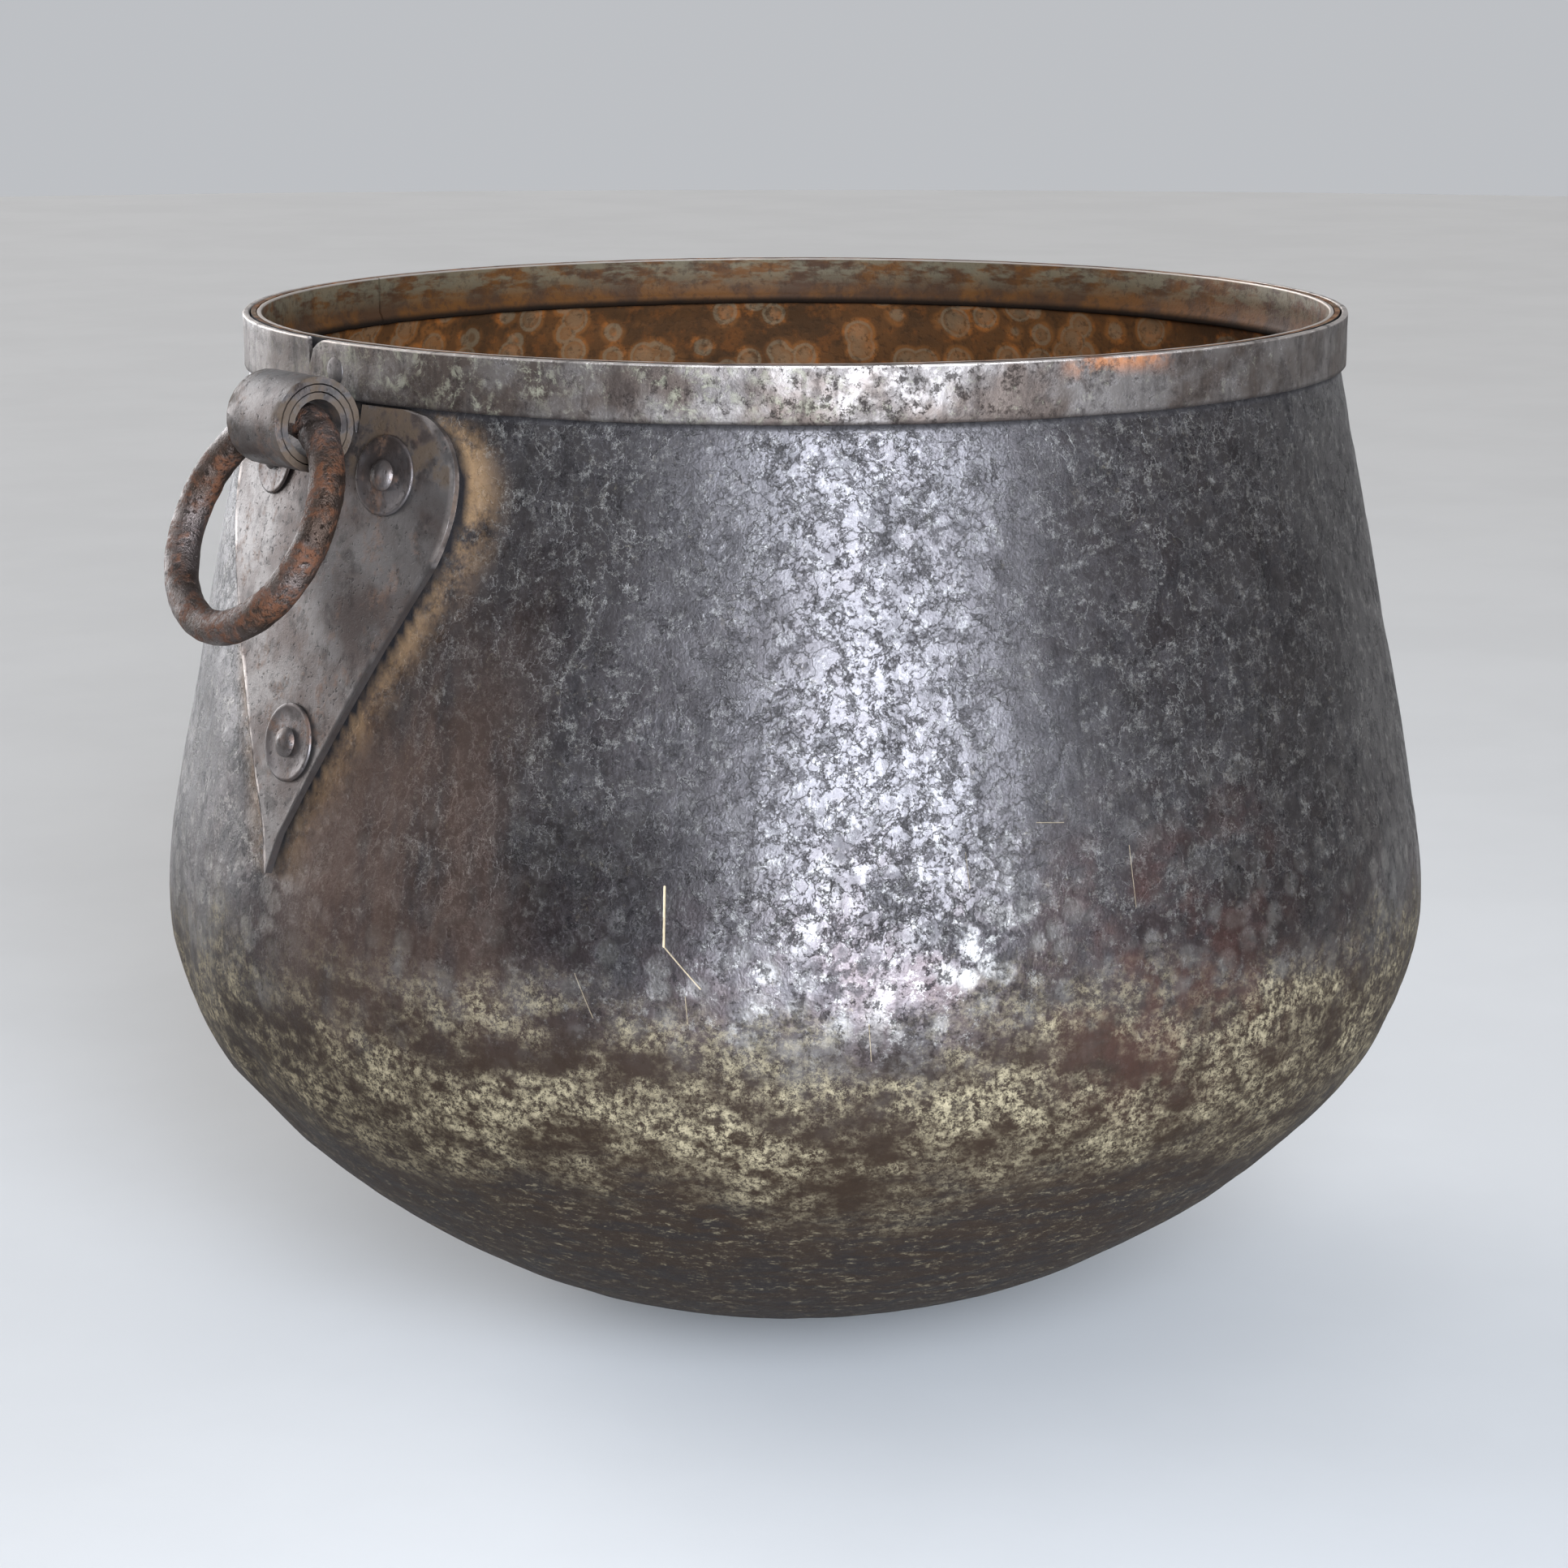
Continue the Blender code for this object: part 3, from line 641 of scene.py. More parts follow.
# ---------------------------------------------------------------- trees that shape the metal
def new_tree(name: str, sizes: dict[str, float]) -> tuple[Tree, bpy.types.Node, bpy.types.Node]:
    """Starts a geometry tree with named sizes.

    Args:
        name: the tree's name.
        sizes: the name and usual value of each size.

    Returns:
        The tree, its input node and its output node.
    """
    tree = bpy.data.node_groups.new(name, "GeometryNodeTree")
    tree.interface.new_socket("Geometry", in_out="INPUT", socket_type="NodeSocketGeometry")
    for label, value in sizes.items():
        socket = tree.interface.new_socket(label, in_out="INPUT", socket_type="NodeSocketFloat")
        socket.default_value = value
    tree.interface.new_socket("Geometry", in_out="OUTPUT", socket_type="NodeSocketGeometry")
    return tree, tree.nodes.new("NodeGroupInput"), tree.nodes.new("NodeGroupOutput")


def add_tree(piece: bpy.types.Object, tree: Tree, values: dict[str, float]) -> None:
    """Puts a tree on a piece and sets its sizes by each socket's identifier."""
    shape = piece.modifiers.new(tree.name, "NODES")
    shape.node_group = tree
    for item in tree.interface.items_tree:
        if item.item_type == "SOCKET" and item.in_out == "INPUT" and item.name in values:
            shape[item.identifier] = values[item.name]


def pushed(tree: Tree, shape: Socket, amount: Socket) -> Socket:
    """Moves a shape's points out along their normals, and gives the new shape."""
    normal = add(tree, "GeometryNodeInputNormal").outputs[0]
    moved = {"Geometry": shape, "Offset": scaled(tree, normal, amount)}
    return add(tree, "GeometryNodeSetPosition", moved).outputs[0]


def dressed(tree: Tree, shape: Socket, skin: bpy.types.Material) -> Socket:
    """Makes a shape real and gives it its material."""
    shape = add(tree, "GeometryNodeRealizeInstances", {"Geometry": shape}).outputs[0]
    return add(tree, "GeometryNodeSetMaterial", {"Geometry": shape, "Material": skin}).outputs[0]


@dataclass
class HammerWork:
    """Hammer marks and a slow unevenness, beaten into a surface along its own normals."""

    mark: float = 0.013
    depth: float = 0.0006
    sag: float = 0.070
    sag_depth: float = 0.0010
    seed: float = 1.0

    def tree(self, name: str, outer: bpy.types.Material, inner: bpy.types.Material | None = None) -> Tree:
        """Builds the tree. A vertex's "free" attribute says how far the hammer may move it.

        Args:
            name: the tree's name.
            outer: the material of the whole piece.
            inner: the material of faces whose "inner" attribute is 1, if they have their own.

        Returns:
            The tree.
        """
        sizes = {"Mark": 0.013, "Depth": 0.0006, "Sag": 0.07, "Sag depth": 0.001, "Seed": 0.0}
        tree, given, result = new_tree(name, sizes)
        spot = add(tree, "GeometryNodeInputPosition").outputs[0]
        seed = given.outputs["Seed"]
        moved = vectors(tree, "ADD", spot, seed)
        total: Socket | None = None
        for size, depth in (("Mark", "Depth"), ("Sag", "Sag depth")):
            scale = maths(tree, "DIVIDE", 1.0, given.outputs[size])
            if size == "Mark":
                source = {"Vector": moved, "Scale": scale, "Randomness": 0.85}
                value = add(tree, "ShaderNodeTexVoronoi", source).outputs["Distance"]
                reach = {"Value": value, "From Min": 0.05, "From Max": 0.62, "To Min": 1.0, "To Max": 0.0}
            else:
                source = {"Vector": moved, "Scale": scale, "Detail": 2.0}
                value = add(tree, "ShaderNodeTexNoise", source).outputs[0]
                reach = {"Value": value, "From Min": 0.3, "From Max": 0.7}
            share = add(tree, "ShaderNodeMapRange", reach, interpolation_type="SMOOTHSTEP").outputs[0]
            total = maths(tree, "MULTIPLY_ADD", share, given.outputs[depth], total if total else 0.0)
        free = add(tree, "GeometryNodeInputNamedAttribute", {"Name": "free"}, data_type="FLOAT")
        inward = maths(tree, "MULTIPLY", total, free.outputs[0])
        shape = pushed(tree, given.outputs["Geometry"], maths(tree, "MULTIPLY", inward, -1.0))
        shape = dressed(tree, shape, outer)
        if inner:
            on = add(tree, "GeometryNodeInputNamedAttribute", {"Name": "inner"}, data_type="FLOAT").outputs[0]
            picked = add(tree, "FunctionNodeCompare", {0: on, 1: 0.5}, operation="GREATER_THAN").outputs[0]
            lined = {"Geometry": shape, "Selection": picked, "Material": inner}
            shape = add(tree, "GeometryNodeSetMaterial", lined).outputs[0]
        tree.links.new(shape, result.inputs[0])
        return tree

    def apply(
        self, piece: bpy.types.Object, outer: bpy.types.Material, inner: bpy.types.Material | None = None
    ) -> None:
        """Beats a piece and keeps the result as its mesh."""
        values = {"Mark": self.mark, "Depth": self.depth, "Sag": self.sag, "Sag depth": self.sag_depth}
        values["Seed"] = self.seed
        add_tree(piece, self.tree(f"hammer_{piece.name}", outer, inner), values)
        bake(piece)


def set_attribute(mesh: bpy.types.Mesh, name: str, values: np.ndarray, domain: str = "POINT") -> None:
    """Writes a float attribute on a mesh."""
    attribute = mesh.attributes.new(name, "FLOAT", domain)
    attribute.data.foreach_set("value", np.asarray(values, np.float32))


# ---------------------------------------------------------------- bowl
@dataclass(frozen=True)
class Knock:
    """A dent from a knock: its degrees round the bowl, its height, radius and depth, and how tall it is."""

    angle: float
    height: float
    radius: float
    depth: float
    tall: float = 1.0


@dataclass
class BowlShell:
    """The one hammered sheet of copper that is the bowl's wall and bottom."""

    rim_radius: float = 0.230
    belly_height: float = 0.1808
    upper_arc: float = 0.225
    lower_arc: float = 0.110
    foot_radius: float = 0.045
    wall: float = 0.0022
    hoop_wall: float = 0.003
    touch: float = 0.0003
    shoulder_swell: float = 0.0014
    shoulder_drop: float = 0.003
    keep_in: float = 0.0002
    sag: float = 0.060
    sag_depth: float = 0.0022
    columns: int = 400
    row: float = 0.0054
    knocks: tuple[Knock, ...] = (
        Knock(150, 0.128, 0.030, 0.0040, 1.2),
        Knock(163, 0.105, 0.024, 0.0030, 0.7),
        Knock(141, 0.158, 0.022, 0.0024, 0.8),
        Knock(172, 0.135, 0.018, 0.0020, 1.0),
        Knock(158, 0.180, 0.030, 0.0022, 1.6),
        Knock(205, 0.118, 0.030, 0.0014, 0.8),
        Knock(258, 0.128, 0.028, 0.0014, 1.0),
        Knock(305, 0.150, 0.034, 0.0024, 1.2),
        Knock(20, 0.110, 0.036, 0.0030, 0.8),
        Knock(64, 0.170, 0.030, 0.0022, 1.3),
        Knock(101, 0.120, 0.026, 0.0026, 0.9),
    )
    height: float = field(init=False)
    neck: float = field(init=False)
    shoulder: float = field(init=False)
    belly: float = field(init=False)
    hoop_bottom: float = field(init=False)
    shoulder_height: float = field(init=False)
    lean: float = field(init=False)
    bottom_arc: float = field(init=False)

    def __post_init__(self) -> None:
        """Works out the sizes that follow, from the frame where it has them."""
        self.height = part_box("rim_hoop")[1].z
        self.neck = self.rim_radius - self.hoop_wall - self.touch
        self.shoulder = self.neck + self.shoulder_swell
        self.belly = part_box("bowl_shell")[1].y
        self.hoop_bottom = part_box("rim_hoop")[0].z
        self.shoulder_height = self.hoop_bottom - self.shoulder_drop
        across = self.shoulder - (self.belly - self.upper_arc)
        up = self.shoulder_height - self.belly_height
        self.lean = math.atan2(up, across) - math.acos(self.upper_arc / math.hypot(across, up))
        centre = self.belly - self.lower_arc
        low, high, foot = self.lower_arc, self.belly_height, self.foot_radius
        known = centre**2 + high**2 - foot**2 - low**2
        room = high**2 - low**2
        root = (known * low) ** 2 + room * (known**2 + (2 * high * foot) ** 2)
        self.bottom_arc = (known * low + math.sqrt(root)) / (2 * room)

    def wall_lean(self, height: float) -> float:
        """Lean of the wall at a height above the widest place."""
        return min(self.lean, math.asin(min((height - self.belly_height) / self.upper_arc, 1)))

    def wall_radius(self, height: float) -> float:
        """Outside radius of the wall at a height above the widest place."""
        lean = self.wall_lean(height)
        if lean < self.lean:
            return self.belly - self.upper_arc * (1 - math.cos(lean))
        return self.shoulder + (self.shoulder_height - height) * math.tan(self.lean)

    def wall_frame(self, angle: float, height: float) -> Matrix:
        """A frame on the outside of the wall, with Z straight out of it."""
        spot = Matrix.Translation((self.wall_radius(height), 0, height))
        return outward(angle) @ spot @ Matrix.Rotation(math.pi / 2 - self.wall_lean(height), 4, "Y")

    def arc(self, centre: tuple[float, float], radius: float, start: float, end: float) -> Profile:
        """Points on an arc of the profile, a row apart, without the first."""
        steps = max(2, round(abs(end - start) * radius / self.row))
        turned = [start + (end - start) * i / steps for i in range(1, steps + 1)]
        return [(centre[0] + radius * math.cos(a), centre[1] + radius * math.sin(a)) for a in turned]

    def profile(self) -> Profile:
        """The outside of the bowl from the rim down to the middle of the foot."""
        line = [(self.neck, self.height), (self.neck, self.height - 0.007), (self.neck, self.height - 0.014)]
        line += [(self.neck, self.hoop_bottom), (self.shoulder, self.shoulder_height)]
        tangent = self.belly_height + self.upper_arc * math.sin(self.lean)
        steps = round((self.shoulder_height - tangent) / self.row)
        for i in range(1, steps + 1):
            height = self.shoulder_height + (tangent - self.shoulder_height) * i / steps
            line.append((self.wall_radius(height), height))
        line += self.arc((self.belly - self.upper_arc, self.belly_height), self.upper_arc, self.lean, 0)
        low = self.belly - self.lower_arc
        middle = math.sqrt(self.bottom_arc**2 - self.foot_radius**2)
        junction = math.atan2(self.belly_height - middle, low)
        foot = -math.acos(self.foot_radius / self.bottom_arc)
        line += self.arc((low, self.belly_height), self.lower_arc, 0, junction)
        line += self.arc((0, middle), self.bottom_arc, junction, foot)
        for i in range(1, 6):
            line.append((self.foot_radius * (1 - i / 6), 0.0))
        return line

    def dented(self, spots: np.ndarray) -> np.ndarray:
        """Pushes points straight in where the bowl was knocked.

        Args:
            spots: the points, one to a row.

        Returns:
            The moved points.
        """
        angle = np.arctan2(spots[:, 1], spots[:, 0])
        radius = np.hypot(spots[:, 0], spots[:, 1])
        inward = np.zeros(len(spots))
        for knock in self.knocks:
            away = np.angle(np.exp(1j * (angle - math.radians(knock.angle)))) * radius
            far = np.hypot(away / knock.radius, (spots[:, 2] - knock.height) / (knock.radius * knock.tall))
            share = np.clip(1 - far, 0, 1)
            inward += knock.depth * share * share * (3 - 2 * share)
        way = spots * np.array((1 / self.sag, 1 / self.sag, 1 / self.sag))
        slow = np.array([noise.noise(Vector(w)) for w in way])
        below_hoop = np.clip((self.hoop_bottom - spots[:, 2]) / 0.03, 0, 1)
        inward += self.sag_depth * np.clip(slow * 0.9 + 0.5, 0, 1) * below_hoop
        keep = np.where(radius > self.foot_radius, 1 - inward / np.maximum(radius, 0.01), 1)
        return np.column_stack((spots[:, 0] * keep, spots[:, 1] * keep, spots[:, 2]))

    def skin(self, which: Skin) -> np.ndarray:
        """The rows of one skin from the rim down, without its pole.

        Args:
            which: the outside or the inside.

        Returns:
            Points in an array of rows, columns and three coordinates.
        """
        line = np.array(self.profile())
        along = np.gradient(line, axis=0)
        along /= np.linalg.norm(along, axis=1)[:, None]
        inside = np.column_stack((along[:, 1], -along[:, 0]))
        inside[:4] = (-1, 0)
        depth = self.keep_in if which is Skin.OUTSIDE else self.wall
        shift = inside * depth
        if which is Skin.OUTSIDE:
            shift[line[:, 1] < 0.004] = 0
        line = line + shift
        line[:, 0] = np.maximum(line[:, 0], 0.0)
        turn = np.linspace(0, 2 * math.pi, self.columns, endpoint=False)
        rows = np.empty((len(line), self.columns, 3))
        rows[:, :, 0] = line[:, 0:1] * np.cos(turn)
        rows[:, :, 1] = line[:, 0:1] * np.sin(turn)
        rows[:, :, 2] = line[:, 1:2]
        return self.dented(rows.reshape(-1, 3)).reshape(rows.shape)

    def mesh(self) -> bpy.types.Mesh:
        """The closed sheet: outside, inside, rim edge and both poles."""
        outer, inner = self.skin(Skin.OUTSIDE), self.skin(Skin.INSIDE)
        rows, columns = outer.shape[:2]
        spots = np.vstack((outer.reshape(-1, 3), inner.reshape(-1, 3), [(0, 0, 0), (0, 0, self.wall)]))
        step = rows * columns
        near = np.arange(columns)
        following = (near + 1) % columns
        faces: list[tuple[int, ...]] = []
        inside: list[int] = []
        for start, turned, flag in ((0, False, 0), (step, True, 1)):
            for r in range(rows - 1):
                a, b = start + r * columns + near, start + r * columns + following
                quads = np.column_stack((a, a + columns, b + columns, b))
                faces += [tuple(q[::-1]) if turned else tuple(q) for q in quads.tolist()]
                inside += [flag] * columns
            last = start + (rows - 1) * columns
            pole = 2 * step + flag
            fan = [(pole, last + j, last + k) for j, k in zip(near.tolist(), following.tolist())]
            faces += [f if turned else f[::-1] for f in fan]
            inside += [flag] * columns
        rim = [(j, k, step + k, step + j) for j, k in zip(near.tolist(), following.tolist())]
        faces += rim
        inside += [1] * columns
        mesh = bpy.data.meshes.new("bowl_shell")
        mesh.from_pydata(spots.tolist(), [], faces)
        set_attribute(mesh, "inner", np.array(inside), "FACE")
        self.mark(mesh, spots)
        return mesh

    def mark(self, mesh: bpy.types.Mesh, spots: np.ndarray) -> None:
        """Writes where the hammer may work, and where rust water and shade lie beside the plates."""
        radius = np.hypot(spots[:, 0], spots[:, 1])
        height = spots[:, 2]
        free = np.clip((self.hoop_bottom - height) / 0.004, 0, 1) * np.clip((radius - 0.042) / 0.012, 0, 1)
        set_attribute(mesh, "free", free)
        plate = HandlePlate(self, Side.LEFT)
        stain, shade = np.zeros(len(spots)), np.zeros(len(spots))
        for side in Side:
            turn = np.angle(np.exp(1j * (np.arctan2(spots[:, 1], spots[:, 0]) - side.value)))
            across = np.abs(turn) * radius
            depth = plate.top - height
            half = np.array([plate.half_width(d) if 0 <= d <= plate.length else 0.0 for d in depth.clip(0)])
            beyond = across - half
            beside = (depth > 0) & (depth < plate.length)
            fade = np.clip(1.1 - depth / (plate.length * 1.08), 0, 1) ** 0.35
            stain = np.where(beside, np.maximum(stain, np.clip(1 - beyond / 0.024, 0, 1) * fade), stain)
            shade = np.where(beside, np.maximum(shade, np.clip(1 - beyond / 0.0035, 0, 1)), shade)
        set_attribute(mesh, "stain", stain * stain * (3 - 2 * stain))
        set_attribute(mesh, "shade", shade)

    def scratches(self) -> list[tuple[Vector, Vector, float]]:
        """Where something scored the wall: the start, end and width of each scratch."""
        scored = (
            (219.6, 0.2395, 219.7, 0.2180, 0.0009),
            (219.7, 0.2180, 222.7, 0.2030, 0.0006),
            (212.4, 0.2060, 214.0, 0.1900, 0.0004),
            (244.2, 0.2510, 244.4, 0.2380, 0.0003),
            (250.5, 0.2600, 253.0, 0.2590, 0.0004),
            (259.0, 0.2480, 259.2, 0.2250, 0.0004),
            (236.0, 0.1900, 236.2, 0.1760, 0.0004),
            (221.5, 0.2000, 221.7, 0.1900, 0.0004),
        )
        found = []
        for first, top, last, bottom, width in scored:
            tips = ((first, top), (last, bottom))
            ends = [self.wall_frame(math.radians(angle), z).translation for angle, z in tips]
            found.append((ends[0], ends[1], width))
        return found

    def build(self) -> None:
        """Makes the shell, beats it and puts it in place."""
        piece = new_object("hammered_shell", self.mesh())
        work = HammerWork(mark=0.0145, depth=0.00042, sag=0.03, sag_depth=0.00025, seed=2.0)
        work.apply(piece, DarkPatina().make(self.scratches()), RustyInside().make())
        finish_mesh(piece.data, 60)
        place(piece, "bowl", ["bowl_shell"])


# ---------------------------------------------------------------- rim
@dataclass
class Band:
    """A flat bar bent into a ring, with two ends that meet."""

    name: str
    inside: float
    outside: float
    low: float
    high: float
    joint: float
    gap: float
    edge: float = 0.0008
    columns: int = 420
    bead: float = 0.0
    rounded_end: float = 0.0
    set_back: float = 0.0
    waver: float = 0.0003

    def section(self, top: float, shift: float) -> Profile:
        """The bar's section as (radius, height), outside first and running down.

        Args:
            top: height of the top edge at this place.
            shift: how far the bar's faces waver here.

        Returns:
            The closed outline.
        """
        e = self.edge
        steps = (0.0, 0.5, 1.0)
        turn = math.pi / 2
        out = self.outside - abs(shift)
        line = [(out - e + e * math.sin(turn * s), top - e + e * math.cos(turn * s)) for s in steps]
        line += [(out - abs(shift), top + (self.low - top) * s) for s in (0.25, 0.5, 0.75)]
        line += [(out - e + e * math.cos(turn * s), self.low + e - e * math.sin(turn * s)) for s in steps]
        if self.bead:
            line += [(self.inside, self.low), (self.inside - self.bead * 0.8, self.low + 0.001)]
            line += [(self.inside - self.bead, self.low + 0.0028)]
            line += [(self.inside - self.bead * 0.5, self.low + 0.0048), (self.inside, self.low + 0.006)]
        else:
            line += [(self.inside, self.low)]
        middle = (self.low + self.high) / 2 + 0.002
        line += [(self.inside, middle), (self.inside, top - e), (self.inside + e, top)]
        return line

    def mesh(self) -> bpy.types.Mesh:
        """The bent bar with its two cut ends."""
        half = self.gap / 2 / self.outside
        first, last = self.joint + half, self.joint + 2 * math.pi - half
        spots: list[tuple[float, float, float]] = []
        faces: list[tuple[int, ...]] = []
        count = 0
        for i in range(self.columns + 1):
            angle = first + (last - first) * i / self.columns
            way = Vector((math.cos(angle), math.sin(angle), 0))
            seen = noise.noise(way * 9) * 0.6 + noise.noise(way * 31) * 0.4
            top = self.high - abs(seen) * self.waver
            from_end = (angle - first) * self.outside
            if self.rounded_end and from_end < self.rounded_end:
                rise = 1 - from_end / self.rounded_end
                top -= self.rounded_end * 0.75 * (1 - math.sqrt(max(0.0, 1 - rise * rise)))
            to_end = (last - angle) * self.outside
            behind = self.set_back * smooth_step(1 - (to_end - 0.006) / 0.05) if self.set_back else 0.0
            line = self.section(top, abs(seen) * self.waver + behind)
            count = len(line)
            spots += [(r * way.x, r * way.y, z) for r, z in line]
            if i:
                a, b = (i - 1) * count, i * count
                faces += [(a + j, a + (j + 1) % count, b + (j + 1) % count, b + j) for j in range(count)]
        faces.append(tuple(range(count))[::-1])
        end = self.columns * count
        faces.append(tuple(range(end, end + count)))
        mesh = bpy.data.meshes.new(self.name)
        mesh.from_pydata(spots, [], faces)
        form = bmesh.new()
        form.from_mesh(mesh)
        bmesh.ops.recalc_face_normals(form, faces=form.faces)
        form.to_mesh(mesh)
        form.free()
        height = np.array([s[2] for s in spots])
        keep = np.clip((self.high - height) / 0.002, 0, 1)
        set_attribute(mesh, "free", keep)
        return mesh


@dataclass
class Rim:
    """What stiffens the mouth: the hoop outside and the lining inside."""

    bowl: BowlShell
    lining_wall: float = 0.002
    lining_height: float = 0.0215
    lining_bead: float = 0.0016
    hoop_joint: float = math.radians(175.0)
    hoop_gap: float = 0.0016
    lining_seam: float = math.radians(107.7)
    lining_gap: float = 0.0012

    def build(self) -> None:
        """Makes the hoop and the lining."""
        bowl = self.bowl
        hoop = Band(
            "hoop",
            bowl.neck + bowl.touch,
            bowl.rim_radius,
            bowl.hoop_bottom,
            bowl.height,
            self.hoop_joint,
            self.hoop_gap,
            columns=460,
            rounded_end=0.014,
            set_back=0.0006,
        )
        piece = new_object("rim_band", hoop.mesh())
        skin = HoopSkin().make(bowl.height, bowl.hoop_bottom)
        HammerWork(mark=0.016, depth=0.00016, sag=0.05, sag_depth=0.00030, seed=5.0).apply(piece, skin)
        finish_mesh(piece.data, 45)
        place(piece, "bowl", ["rim_hoop"])
        outside = bowl.neck - bowl.wall - bowl.touch
        lining = Band(
            "lining",
            outside - self.lining_wall,
            outside,
            bowl.height - self.lining_height,
            bowl.height,
            self.lining_seam,
            self.lining_gap,
            edge=0.0005,
            bead=self.lining_bead,
        )
        piece = new_object("rim_inner_band", lining.mesh())
        rusty = LiningSkin().make(bowl.height, bowl.height - self.lining_height)
        HammerWork(mark=0.012, depth=0.00020, sag=0.04, sag_depth=0.00025, seed=8.0).apply(piece, rusty)
        finish_mesh(piece.data, 45)
        place(piece, "bowl", ["rim_lining"])


@dataclass(frozen=True)
class LiningSkin:
    """The lining inside the mouth: rust-stained, pale and dry along its top, with painted shade in the fold
    below.
    """

    stain: str = "#553517"
    dark: str = "#33241a"
    dry: str = "#625b49"
    worn: str = "#c3b6aa"
    crease: str = "#17110c"

    def make(self, top: float, bottom: float) -> bpy.types.Material:
        """Builds the lining's material.

        Args:
            top: height of its top edge in metres.
            bottom: height of its lower edge.

        Returns:
            The material.
        """
        skin = Layers("copper_lining_rust_stained", self.stain, 0.58, 0.15)
        skin.coat(skin.grain(22, 0.4, 0.62), self.dark, share=0.75)
        height = skin.axis("Z")
        upper = skin.ramp(height, bottom + 0.005, top - 0.004)
        streaks = skin.grain(16, 0.40, 0.58, 6, (1, 1, 3.5), 3)
        skin.coat(skin.both(upper, streaks), self.dry, 0.6, 0.3, share=0.7)
        skin.coat(skin.grain(4, 0.5, 0.64, shift=5), self.dark, 0.7, height=-0.06, share=0.45)
        # painted shade: the lowest few millimetres darkened where the lining meets the wall
        skin.coat(skin.ramp(height, bottom + 0.0045, bottom + 0.0015), self.crease, 0.85, 0.1, share=0.9)
        skin.coat(skin.ramp(height, top - 0.0009, top - 0.0002), self.worn, 0.4, 0.8, share=0.7)
        skin.coat(skin.grain(1.3, 0.3, 0.7, shift=6), height=0.05)
        return skin.done()


